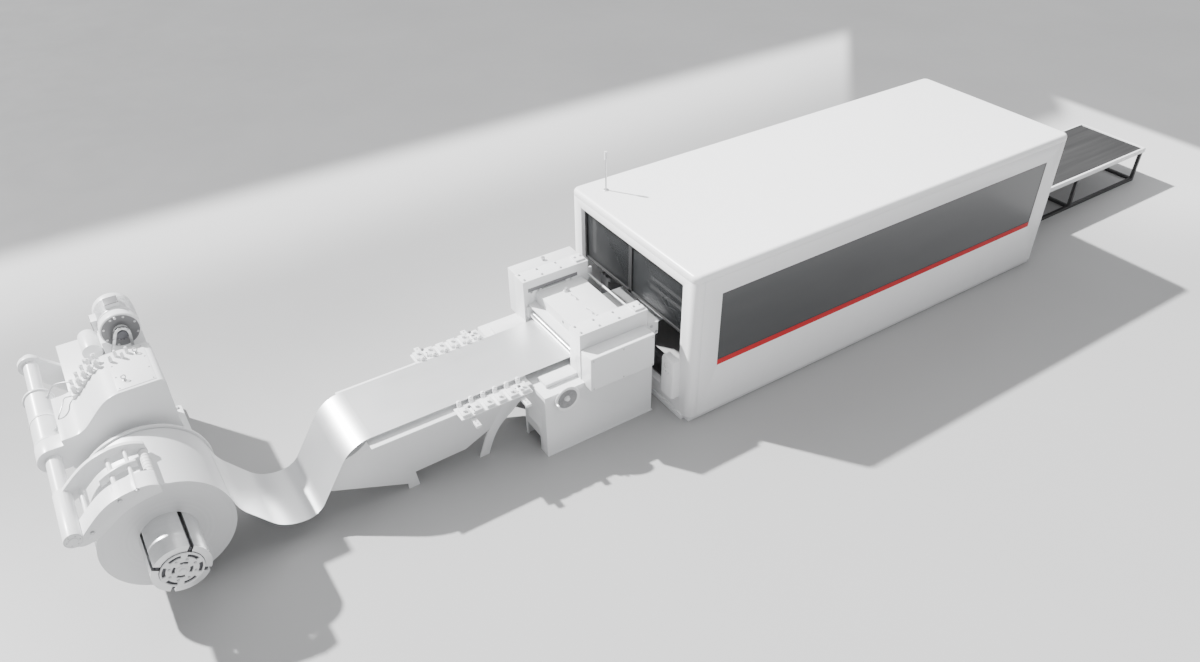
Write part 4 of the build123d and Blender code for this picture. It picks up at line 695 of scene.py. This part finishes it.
# The lids are dark grey as painted shade on the cable boxes.
top_lid = block((-6.186, 1.924, top_face - 0.009), (-6.034, 2.086, top_face), 0.003)
side_lid = block((side_face, 1.924, 2.164), (side_face + 0.009, 2.086, 2.296), 0.003)
finish(joined([top_lid, side_lid]), "motor_box_lids", dark_paint_and_shade, slot="painted_mid_grey")
top_screws = [(x, y, top_face) for x in (-6.175, -6.045) for y in (1.936, 2.074)]
bolts("motor_top_lid_screws", top_screws, 0.01)
side_screws = [(side_face, y, z) for y in (1.936, 2.074) for z in (2.176, 2.284)]
bolts("motor_side_lid_screws", side_screws, 0.01, (-1, 0, 0))
plug_profile = solid((0.012, 0.022), (0.016, 0.018), (0.016, 0.0))
plug = turned(plug_profile, (-6.136, 1.735, 2.372), (0, -1, 0), 20)
finish(plug, "motor_flange_plug", zinc)

# Sprockets: flame-hardened steel wheels, oiled. Six bolts hold the large one on its hub.
coat("shaft_sprocket", oiled_steel_and_slot_shade)
coat("motor_sprocket", oiled_steel_and_slot_shade)
bolts("sprocket_bolts", ring_places(on(coil_axis, 1.673), 0.115, 6), 0.022, (0, 1, 0), "mandrel")

# Drive chain: a roller chain round both sprockets. Inner and outer links take turns, each with
# two pressed plates, rollers and riveted pins.
big_radius = 0.26097
small_radius = 0.0796
link_count = 96
chain_y = 1.662
big_centre = Vector(on(coil_axis, chain_y))
small_centre = Vector(on(motor_axis, chain_y))
centre_line = small_centre - big_centre
toward = centre_line.normalized()
across = Vector((-toward.z, 0, toward.x))
lean = math.asin((big_radius - small_radius) / centre_line.length)
straight = math.sqrt(centre_line.length ** 2 - (big_radius - small_radius) ** 2)
small_arc = small_radius * (math.pi - 2 * lean)
big_arc = big_radius * (math.pi + 2 * lean)
chain_length = small_arc + big_arc + 2 * straight


def round_wheel(centre, radius, angle):
    """A point on a sprocket's pitch circle, its angle measured from the line of centres."""
    return centre + (toward * math.cos(angle) + across * math.sin(angle)) * radius


def chain_point(distance):
    """A point on the chain's pitch line, from where it meets the small sprocket."""
    edge = math.pi / 2 - lean
    if distance < small_arc:
        return round_wheel(small_centre, small_radius, edge - distance / small_radius)
    distance -= small_arc
    if distance < straight:
        leaving = round_wheel(small_centre, small_radius, -edge)
        return leaving.lerp(round_wheel(big_centre, big_radius, -edge), distance / straight)
    distance -= straight
    if distance < big_arc:
        return round_wheel(big_centre, big_radius, -edge - distance / big_radius)
    distance -= big_arc
    leaving = round_wheel(big_centre, big_radius, edge)
    return leaving.lerp(round_wheel(small_centre, small_radius, edge), distance / straight)


pitch = chain_length / link_count
plate_radius = 0.016
plate_thickness = 0.003
ends = [(1, angle) for angle in range(-90, 91, 30)] + [(-1, angle) for angle in range(90, 271, 30)]
pin_outline = [(0.0055, -0.0215), (0.0055, -0.0115), (0.0112, -0.0115)]
pin_outline += [(radius, -y) for radius, y in reversed(pin_outline)]
link_patterns = []
for plate_y in (0.012, 0.0165):
    plates = [turned(solid(*pin_outline), (-pitch / 2, 0, 0), (0, 1, 0), 12)]
    for low_y in (plate_y, -plate_y - plate_thickness):
        rim = []
        for end_side, angle in ends:
            reach = plate_radius * math.cos(math.radians(angle)) + end_side * pitch / 2
            rim.append((reach, low_y, plate_radius * math.sin(math.radians(angle))))
        plates.append(cut_plate(rim, (0, plate_thickness, 0)))
    link_patterns.append(joined(plates))
links = []
for index in range(link_count):
    here = chain_point(pitch * index)
    there = chain_point(pitch * ((index + 1) % link_count))
    along = (there - here).normalized()
    side = Vector((0, 1, 0))
    turn = Matrix((along, side, along.cross(side))).transposed().to_4x4()
    links.append(copied(link_patterns[index % 2], Matrix.Translation((here + there) / 2) @ turn))
discarded(*link_patterns)
chain_steel = turned_steel("chain_steel", (0.3, 0.305, 0.31), (0.62, 0.625, 0.63), 8.0, 0.3)
chain = finish(joined(links), "drive_chain_links", chain_steel, slot="dark_steel")
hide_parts("drive_chain")


# Hydraulic unit: a stepped valve block with screwed caps on its valves, an oil tank with a filler
# and a gauge, and bent steel pipes to the arm's actuator.
def pipe(points, radius):
    """A bent round bar or pipe along a smooth line past its points."""
    line = bpy.data.curves.new("pipe", "CURVE")
    line.dimensions = "3D"
    line.bevel_depth = radius
    line.bevel_resolution = 4
    line.use_fill_caps = True
    spline = line.splines.new("NURBS")
    spline.points.add(len(points) - 1)
    for point, point_place in zip(spline.points, points):
        point.co = (*point_place, 1)
    spline.order_u = 3
    spline.use_endpoint_u = True
    bent = new_object("pipe", line)
    piece = new_object("pipe", bpy.data.meshes.new_from_object(bent))
    discarded(bent)
    return piece


softened("hydraulic_unit", 0.003)
cap_profile = solid((0.012, 0.016), (0.015, 0.013), (0.015, 0.006), (0.026, 0.005), (0.026, 0.0))
caps = []
for step, step_top in enumerate((1.785, 1.865, 1.935, 1.985, 2.025)):
    step_x = -6.84 + 0.078 * (step + 0.5)
    caps.append(turned(cap_profile, (step_x, 1.39, step_top + 0.085), (0, 0, 1), 24))
    caps.append(turned(cap_profile, (step_x, 1.49, step_top + 0.11), (0, 0, 1), 24))
valve_profile = solid((0.021, 0.0), (0.021, 0.05), (0.017, 0.056), (0.017, 0.08), (0.012, 0.086))
for valve_x, valve_y in ((-6.335, 1.36), (-6.27, 1.44), (-6.205, 1.36), (-6.145, 1.44)):
    caps.append(turned(valve_profile, (valve_x, valve_y, housing_top), (0, 0, 1), 24))
finish(joined(caps), "valve_caps", light_paint)
filler_profile = solid((0.024, 0.05), (0.028, 0.045), (0.028, 0.02), (0.018, 0.016), (0.018, 0.0))
filler = turned(filler_profile, (-6.56, 1.95, 1.749), (0, 0, 1), 28)
gauge_profile = solid((0.03, 0.03), (0.034, 0.026), (0.034, 0.006), (0.01, 0.0))
gauge = turned(gauge_profile, (-6.61, 2.12, 1.68), (-1, 0, 0), 32)
finish(joined([filler, gauge]), "tank_fittings", zinc)
near_port_run = [(-7.1, 1.12, 1.58), (-7.07, 1.12, 1.625), (-7.03, 1.13, 1.72), (-6.96, 1.25, 1.765)]
near_port_run += [(-6.93, 1.39, 1.765), (-6.87, 1.4, 1.748), (-6.835, 1.4, 1.748)]
far_port_run = [(-7.1, 1.8, 1.58), (-7.07, 1.8, 1.625), (-7.01, 1.79, 1.715), (-6.9, 1.72, 1.755)]
far_port_run += [(-6.8, 1.66, 1.758), (-6.792, 1.58, 1.758), (-6.792, 1.535, 1.758)]
tank_run = [(-6.57, 1.535, 1.8), (-6.57, 1.6, 1.8), (-6.56, 1.72, 1.8), (-6.555, 1.8, 1.73)]
tank_run += [(-6.55, 1.83, 1.7), (-6.55, 1.855, 1.7)]
pipes = [pipe(run, 0.008) for run in (near_port_run, far_port_run, tank_run)]
finish(joined(pipes), "oil_pipes", zinc)

# Entry table: welded side plates under a bright deck. Small screws hold its rails and the two cross
# bars that carry the edge guides.
softened("table_stand", 0.004)
rail_screws = [(x, y, 1.0505) for x in (-2.95, -2.05) for y in (-0.5, 0.5)]
bolts("table_rail_screws", rail_screws, 0.012)
bar_screws = [(x, y, 1.0305) for x in (-2.85, -2.15) for y in (-0.9, -0.84, 0.84, 0.9)]
bolts("table_bar_screws", bar_screws, 0.016)

# Edge guides: a bar of six hardened rollers on each side of the strip. Each roller turns under a
# domed cap, and a moulded knob clamps each block.
knob_profile = solid((0.016, 0.03), (0.021, 0.024), (0.021, 0.01), (0.012, 0.004), (0.012, 0.0))
dome_profile = [(0.0, 0.013), (0.01, 0.012), (0.018, 0.007), (0.021, 0.002), (0.021, 0.0), (0.0, 0.0)]
for guide_name, guide_side in (("near_guide", -1), ("far_guide", 1)):
    softened(guide_name, 0.002)
    dome_places = [(-3.0 + (index + 0.5) * 0.16667, guide_side * 0.531, 1.151) for index in range(6)]
    turned_row(guide_name + "_domes", dome_profile, dome_places, (0, 0, 1), 24, light_paint, guide_name)
    knob_places = [(block_x, guide_side * 0.69, 1.139) for block_x in (-2.85, -2.15)]
    turned_row(guide_name + "_knobs", knob_profile, knob_places, (0, 0, 1), 10, dark_paint_and_shade, guide_name)
    foot_places = [(x, guide_side * 0.655, 1.1105) for x in (-2.885, -2.815, -2.185, -2.115)]
    bolts(guide_name + "_bolts", foot_places, 0.016, body=guide_name)

# Straightener base: a welded box on two legs with a thin floor flange. Doors and vents are on the
# drive side and towards the table.
softened("straightener_base", 0.006)
for leg_name, leg_x in (("entry", -1.42), ("exit", -0.66)):
    door(f"base_door_{leg_name}", (leg_x, 0.93, 0.5), (0, 1, 0), 0.56, 0.6)
for vent_name, vent_y in (("near", -0.64), ("far", 0.64)):
    louvres(f"base_vents_{vent_name}", (-1.92, vent_y, 0.55), (-1, 0, 0), 0.34, 0.3, 8)

# Side frames: two flame-cut frames, machined on top and tied by round rods that end in nuts. A
# stop block is screwed to each top, and a thin dark strip on each inner face is painted shade in the
# gap beside the head.
softened("side_frames", 0.004)
frame_y = 0.725
stops = []
painted_gap_shade = []
for side in (-1, 1):
    stop_y = side * frame_y
    stops.append(block((-0.45, stop_y - 0.085, 1.699), (-0.3, stop_y + 0.085, 1.728), 0.004))
    # A thin dark strip on each inner face: painted shade in the gap beside the head.
    shade_low, shade_high = sorted((side * 0.5998, side * 0.6035))
    painted_gap_shade.append(block((-1.26, shade_low, 1.515), (-0.46, shade_high, 1.575), 0.001))
finish(joined(stops), "frame_stop_blocks", light_paint)
finish(joined(painted_gap_shade), "frame_painted_gap_shade", dark_paint_and_shade)
top_places = [(x, y, 1.7005) for x in (-1.28, -1.00, -0.7) for y in (-0.8, -0.65, 0.65, 0.8)]
top_places += [(x, y, 1.7285) for x in (-0.42, -0.33) for y in (-frame_y, frame_y)]
bolts("frame_top_bolts", top_places, 0.03)
for nut_name, nut_side in (("near", -1), ("far", 1)):
    nut_places = [(-0.2, nut_side * 0.835, 1.38), (-0.12, nut_side * 0.835, 1.27)]
    bolts(f"tie_rod_nuts_{nut_name}", nut_places, 0.034, (0, nut_side, 0))

# Gear housing: an oil-tight box with a bolted lid, a breather on top and a sight glass.
softened("drive_housing", 0.005)
lid_face = 1.09
lid = block((-1.285, lid_face - 0.011, 1.025), (-0.315, lid_face, 1.675), 0.004)
finish(lid, "gear_housing_lid", light_paint)
lid_places = [(x, lid_face, z) for x in (-1.26, -0.95, -0.65, -0.34) for z in (1.05, 1.65)]
lid_places += [(x, lid_face, z) for x in (-1.26, -0.34) for z in (1.25, 1.45)]
bolts("gear_housing_bolts", lid_places, 0.02, (0, 1, 0))
breather = turned(filler_profile, (-0.8, 0.965, 1.699), (0, 0, 1), 28)
sight_glass = turned(gauge_profile, (-0.6, 1.089, 1.2), (0, 1, 0), 32)
finish(joined([breather, sight_glass]), "gear_housing_fittings", zinc)

# Side cover: folded sheet over the near roll ends, held by six screws.
softened("side_cover", 0.005)
cover_places = [(x, -1.1005, z) for x in (-1.285, -0.825, -0.365) for z in (0.99, 1.435)]
bolts("side_cover_screws", cover_places, 0.018, (0, -1, 0))

# Upper head: a stiff welded bridge that rides up between the frames on two jack screws. Two dark
# discs towards the strip are painted shade in its oil holes, and it has two bow handles of bent bar.
softened("upper_head", 0.005)
screw_profile = solid(
    (0.015, 0.06), (0.018, 0.056), (0.018, 0.024), (0.04, 0.022), (0.046, 0.016), (0.046, 0.0),
)
head_top = 1.479
jack_places = [(-0.77, side * 0.4, head_top) for side in (-1, 1)]
turned_row("head_jack_screws", screw_profile, jack_places, (0, 0, 1), 32, body="upper_head")
hole_profile = solid((0.018, 0.004), (0.022, 0.001), (0.022, 0.0))
# Dark discs: painted shade in the oil holes.
hole_shade_places = [(-1.14, y, 1.405) for y in (-0.34, -0.12)]
turned_row("head_hole_shade", hole_profile, hole_shade_places, (-1, 0, 0), 24, dark_paint_and_shade, "upper_head")
bow_line = [(0, -0.07, 0), (0, -0.07, 0.03), (0, -0.058, 0.04), (0, 0, 0.042)]
bow_line += [(0, 0.058, 0.04), (0, 0.07, 0.03), (0, 0.07, 0)]
foot_profile = solid((0.011, 0.005), (0.013, 0.002), (0.013, 0.0))
for grip_name, grip_y in (("near", -0.2), ("far", 0.2)):
    grip = [pipe(bow_line, 0.006)]
    grip += [turned(foot_profile, (0, foot_y, 0), (0, 0, 1), 16) for foot_y in (-0.07, 0.07)]
    stand = Matrix.Translation((-0.77, grip_y, head_top))
    finish(moved(joined(grip), stand), f"head_grip_{grip_name}", light_paint, "upper_head")

# Rolls: ground and hard chromed, with the grinding lines round them.
chrome = turned_steel("ground_chrome", (0.7, 0.705, 0.71), (0.88, 0.885, 0.89), 40.0, 0.12)
for roll_place in ("entry_roll", "exit_roll", "middle_roll"):
    coat(roll_place + "_lower", chrome)
    coat(roll_place + "_upper", chrome)

# Hand wheel: one dished aluminium casting, turned and painted light, with a thick rim, a turned hub
# and a free grip on the rim.
wheel_centre = Vector((-1.62, -0.989, 0.905))
rim_profile = [
    (0.034, 0.014), (0.12, 0.008), (0.148, -0.004), (0.158, -0.01), (0.176, -0.01), (0.185, -0.002),
    (0.185, 0.004), (0.176, 0.012), (0.16, 0.012), (0.148, 0.004), (0.12, 0.014), (0.034, 0.02),
    (0.034, 0.014),
]
wheel = [turned(rim_profile, wheel_centre, (0, 1, 0), 72)]
hub_profile = [(0.0, 0.0), (0.036, 0.0), (0.036, 0.062), (0.03, 0.074), (0.018, 0.084), (0.0, 0.0847)]
wheel.append(turned(hub_profile, (wheel_centre.x, -0.9303, wheel_centre.z), (0, -1, 0), 32))
grip_profile = [(0.0, 0.0), (0.01, 0.0), (0.014, 0.02), (0.014, 0.055), (0.01, 0.068), (0.0, 0.074)]
wheel.append(turned(grip_profile, (-1.791, -0.996, wheel_centre.z), (0, -1, 0), 24))
wheel_paint, shader, place = new_material("wheel_paint")
from_hub = distance_from_axis(place, wheel_centre.x, wheel_centre.z)
web = from_hub.step(0.036, 0.044) * (1 - from_hub.step(0.138, 0.148))
wheel_wear = place.noise(30.0, 4.0)
connect(
    shader,
    Base_Color=(web * 0.8 + wheel_wear * 0.2).mixed((0.84, 0.845, 0.85), (0.16, 0.16, 0.165)),
    Roughness=0.3 + wheel_wear * 0.15,
    Coat_Weight=0.2,
)
hand_wheel = finish(joined(wheel), "hand_wheel_turned", wheel_paint, "hand_wheel", "chromed_roll")
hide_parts("hand_wheel")

# Enclosure: white powder-coated sheet on a low plinth. The side towards the aisle and the roof are
# plain. The drive side has service doors and vents, and the exit wall has a door above the belt.
white_panel = sprayed_paint("white_powder_coat", (0.9, 0.9, 0.905), 0.3, 0.05)
softened("plinth", 0.004)
softened("roof_panel", 0.008, white_panel)
softened("near_wall", 0.005, white_panel)
softened("far_wall", 0.005, white_panel)
softened("entry_portal", 0.006, white_panel)
softened("exit_wall", 0.006, white_panel)
wall_face = 1.465
for door_number, door_x in enumerate((1.1, 2.6, 4.1, 5.6)):
    door(f"service_door_{door_number}", (door_x, wall_face, 0.5), (0, 1, 0), 1.1, 0.58, white_panel)
louvres("cabinet_vents", (6.75, wall_face, 0.46), (0, 1, 0), 0.7, 0.46, 12, white_panel)
door("exit_service_door", (7.5, 0.0, 1.72), (1, 0, 0), 1.3, 0.8, white_panel)


# Windows: tinted safety glass flush in the walls, held all round by a black rubber gasket.
def four_bars(low, high, sideways, level_width, upright_width, edge):
    """Bars round an opening, inside a box: two level ones, then two upright ones."""
    bars = []
    for axis, width in ((2, level_width), (sideways, upright_width)):
        first_end = list(high)
        first_end[axis] = low[axis] + width
        second_start = list(low)
        second_start[axis] = high[axis] - width
        bars += [block(low, first_end, edge), block(second_start, high, edge)]
    return bars


tinted_glass, shader, place = new_material("tinted_glass")
# Lighter towards the exit end: a painted reflection on the glass.
painted_reflection_gradient = place.coordinate("X").step(0.3, 7.4)
smear = place.stretched(0.4, 0.4, 1.5).noise(2.2, 4.0)
connect(
    shader,
    Base_Color=(painted_reflection_gradient * 0.8 + smear * 0.2).mixed((0.058, 0.06, 0.062), (0.135, 0.137, 0.139)),
    Roughness=0.24 + smear * 0.14,
    Specular_IOR_Level=0.35,
    Coat_Weight=0.08,
)
coat("near_window", tinted_glass)
coat("far_window", tinted_glass)
gasket_rubber = sprayed_paint("gasket_rubber", (0.05, 0.05, 0.052), 0.6)
gasket_width = 0.012
for pane_name, pane_side in (("near", -1), ("far", 1)):
    pane_low, pane_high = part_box(pane_name + "_window")
    face_y = pane_low[1] if pane_side < 0 else pane_high[1]
    strips_low = (pane_low[0], face_y - 0.003, pane_low[2])
    strips_high = (pane_high[0], face_y + 0.003, pane_high[2])
    strips = four_bars(strips_low, strips_high, 0, gasket_width, gasket_width, 0.0012)
    finish(joined(strips), f"{pane_name}_window_gasket", gasket_rubber, slot="belt_rubber")

# Accent strips: one red band of film under the windows.
red_film = sprayed_paint("red_film", (0.52, 0.004, 0.01), 0.45, 0.0)
coat("accent_stripes", red_film)

# Entry shields: tinted panes in dark frames across the mouth, above the strip. Behind them three
# lamps light the cutting head.
shield_frame = sprayed_paint("shield_frame", (0.014, 0.014, 0.015), 0.6, 0.0)
shield_glass, shader, place = new_material("shield_glass")
film = place.noise(3.0, 3.0)
connect(
    shader,
    Base_Color=film.mixed((0.016, 0.017, 0.018), (0.0224, 0.0238, 0.0252)),
    Roughness=0.42 + film * 0.1,
    Alpha=0.82 + film * 0.06,
    Specular_IOR_Level=0.2,
)
sill_z = 1.35
head_z = 2.15
frame_bars = []
panes = []
for low_y, high_y in ((-1.185, 0.03), (0.03, 1.185)):
    frame_bars += four_bars((0.05, low_y, sill_z), (0.09, high_y, head_z), 1, 0.04, 0.038, 0.003)
    pane_corner = (0.074, high_y - 0.036, head_z - 0.038)
    panes.append(block((0.066, low_y + 0.036, sill_z + 0.038), pane_corner, 0.001))
bars = finish(joined(frame_bars), "shield_frames", shield_frame, slot="dark_glass")
glass = finish(joined(panes), "shield_panes", shield_glass, slot="dark_glass")
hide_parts("entry_shields")
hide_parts("entry_shields")
glow, shader, place = new_material("lamp_cover")
ribbing = place.coordinate("Z").wave(0.02)
connect(
    shader,
    Base_Color=ribbing.mixed((0.9, 0.9, 0.9), (0.8, 0.8, 0.8)),
    Roughness=0.4,
    Emission_Color=ribbing.mixed((1.0, 1.0, 1.0), (0.8, 0.8, 0.8)),
    Emission_Strength=3.0,
)
lamps = [
    block((0.16, 1.09, 1.42), (0.185, 1.15, 2.06), 0.004),
    block((0.16, -1.15, 1.58), (0.185, -0.3, 1.62), 0.004),
    block((0.16, -1.15, 1.72), (0.185, -0.3, 1.76), 0.004),
]
finish(joined(lamps), "entry_lamps", glow, slot="light_plastic")

# Signal mast: a turned foot, a bright steel rod and a ribbed lamp in clear grey plastic on top.
mast_low, mast_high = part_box("signal_mast")
mast_x = 0.362
mast_y = 1.098
rod_length = 0.48
lamp_height = 0.12
mast_profile = solid(
    (0.04, 0.0), (0.04, 0.008), (0.034, 0.012), (0.016, 0.014), (0.012, 0.024), (0.012, rod_length),
)
mast = turned(mast_profile, (mast_x, mast_y, mast_low[2]), (0, 0, 1), 32)
lamp_profile = [(0.022, 0.0)]
for ring in range(8):
    ring_z = 0.004 + ring * 0.014
    lamp_profile += [(0.022, ring_z), (0.019, ring_z + 0.003), (0.019, ring_z + 0.006)]
lamp_profile += [(0.022, lamp_height - 0.002), (0.018, lamp_height)]
mast_lamp = turned(solid(*lamp_profile), (mast_x, mast_y, mast_high[2] - lamp_height), (0, 0, 1), 32)
lamp_plastic = sprayed_paint("lamp_plastic", (0.7, 0.71, 0.72), 0.22, 0.0)
finish(mast, "mast_rod", zinc)
finish(mast_lamp, "mast_lamp", lamp_plastic, slot="grey_plastic")
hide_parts("signal_mast")
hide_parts("signal_mast")

# Control box: a folded box on the portal with a hinged front, three lamps and a push button.
softened("control_box", 0.004, white_panel)
front_x = -0.1385
front = block((front_x, -1.235, 0.37), (-0.13, -1.01, 0.97), 0.003)
finish(front, "control_box_front", white_panel)
lens_profile = [(0.0, 0.01), (0.01, 0.009), (0.013, 0.004), (0.016, 0.003), (0.016, 0.0), (0.0, 0.0)]
lens_places = [(front_x, y, 0.78) for y in (-1.17, -1.11, -1.05)]
turned_row(
    "control_box_lamps", lens_profile, lens_places, (-1, 0, 0), 24, lamp_plastic, slot="grey_plastic",
)
button_plastic = sprayed_paint("light_plastic", (0.66, 0.66, 0.65), 0.35, 0.0)
softened("push_button", 0.002, button_plastic)

# Machine bed: a welded frame in dark grey, painted shade inside the enclosure, with ground linear rails
# screwed down all along.
softened("machine_bed", 0.004, dark_paint_and_shade)
for rail_name, rail_y in (("near", -1.06), ("far", 1.06)):
    rail_places = [(0.4 + 0.12 * i, rail_y, 1.0101) for i in range(41)]
    bolts(f"rail_screws_{rail_name}", rail_places, 0.011)

# Slats: mild steel strips with cut teeth, stood across the bed in slots. Their tips are burnt.
burnt_steel, shader, place = new_material("burnt_slats")
soot = place.noise(14.0, 5.0)
tip = place.coordinate("Z").step(1.07, 1.117)
connect(
    shader,
    Base_Color=(soot * 0.5 + tip * 0.5).mixed((0.26, 0.25, 0.24), (0.07, 0.06, 0.055)),
    Metallic=0.6,
    Roughness=0.45 + soot * 0.25,
    Normal=soot.bump(0.2, 0.0008),
)
slat_x = 0.4975
slat_end = 0.955
tooth_count = 38
slat_rim = [(slat_x, -slat_end, 1.0), (slat_x, slat_end, 1.0)]
for tooth in range(tooth_count, 0, -1):
    tooth_y = -slat_end + tooth * 2 * slat_end / tooth_count
    slat_rim += [(slat_x, tooth_y, 1.078), (slat_x, tooth_y - 0.0251, 1.1165)]
slat_rim.append((slat_x, -slat_end, 1.078))
slat = cut_plate(slat_rim, (0.005, 0, 0))
slats = [copied(slat, Matrix.Translation((0.25 * i, 0, 0))) for i in range(17)]
discarded(slat)
slat_row = finish(joined(slats), "toothed_slats", burnt_steel, slot="dark_steel")
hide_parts("support_slats")

# Gantry: a box beam on two trucks, with two guide rails and a ribbed cable duct on its top.
softened("gantry_beam", 0.005)
duct = [block((0.6, -0.9, 1.879), (0.68, 0.9, 1.884), 0.001)]
duct_rib = block((0.602, -0.01, 1.883), (0.678, 0.01, 1.925), 0.003)
duct += [copied(duct_rib, Matrix.Translation((0, -0.875 + 0.035 * i, 0))) for i in range(51)]
discarded(duct_rib)
finish(joined(duct), "cable_duct", dark_paint_and_shade, "gantry")
truck_places = [(x, y, 1.1605) for x in (0.54, 0.88) for y in (-1.15, -0.99, 0.99, 1.15)]
bolts("truck_bolts", truck_places, 0.02, body="gantry")

# Carriage: a machined plate on the guide rails, with bolts at its corners.
softened("head_carriage", 0.004, machine_paint)
plate_places = [(0.4897, y, z) for y in (-0.125, 0.125) for z in (1.515, 1.885)]
bolts("carriage_bolts", plate_places, 0.022, (-1, 0, 0), "carriage")

# Cutting head: an anodised body over a turned barrel with two lens rings, down to its nozzle.
softened("cutting_head", 0.003, machine_paint)
knurl = [(0.042, 0.0), (0.047, 0.003), (0.047, 0.027), (0.042, 0.03)]
knurl_places = [(0.4, 0.0, z) for z in (1.27, 1.35)]
turned_row("lens_rings", knurl, knurl_places, (0, 0, 1), 40, dark_paint_and_shade, "cutting_head", "anodised")

# Laser source: a cabinet behind the bed with a door and vents.
softened("laser_source", 0.006, white_panel)
door("source_door", (6.3, 0.8, 0.9), (0, -1, 0), 0.9, 1.2, white_panel)
louvres("source_vents", (5.6, 1.04, 1.2), (-1, 0, 0), 0.3, 0.4, 10, white_panel)

# Outfeed conveyor: a ribbed black belt between folded rims, on welded legs painted black. Its two
# drums are hard chromed.
softened("conveyor_frame", 0.004)
belt_rubber, shader, place = new_material("belt_rubber")
weave = place.coordinate("X").wave(0.004) * place.coordinate("Y").wave(0.004)
scuff = place.stretched(0.15, 2.5, 1.0).noise(3.0, 5.0)
connect(
    shader,
    Base_Color=scuff.mixed((0.018, 0.018, 0.019), (0.06, 0.06, 0.06)),
    Roughness=0.72 + scuff * 0.2,
    Specular_IOR_Level=0.12,
    Normal=weave.bump(0.15, 0.0003),
)
coat("conveyor_belt", belt_rubber)
black_paint = sprayed_paint("black_paint", (0.03, 0.03, 0.031), 0.42, 0.02)
softened("conveyor_stand", 0.004, black_paint)
coat("tail_drum", chrome)
coat("drive_drum", chrome)

discarded(bolt_pattern)
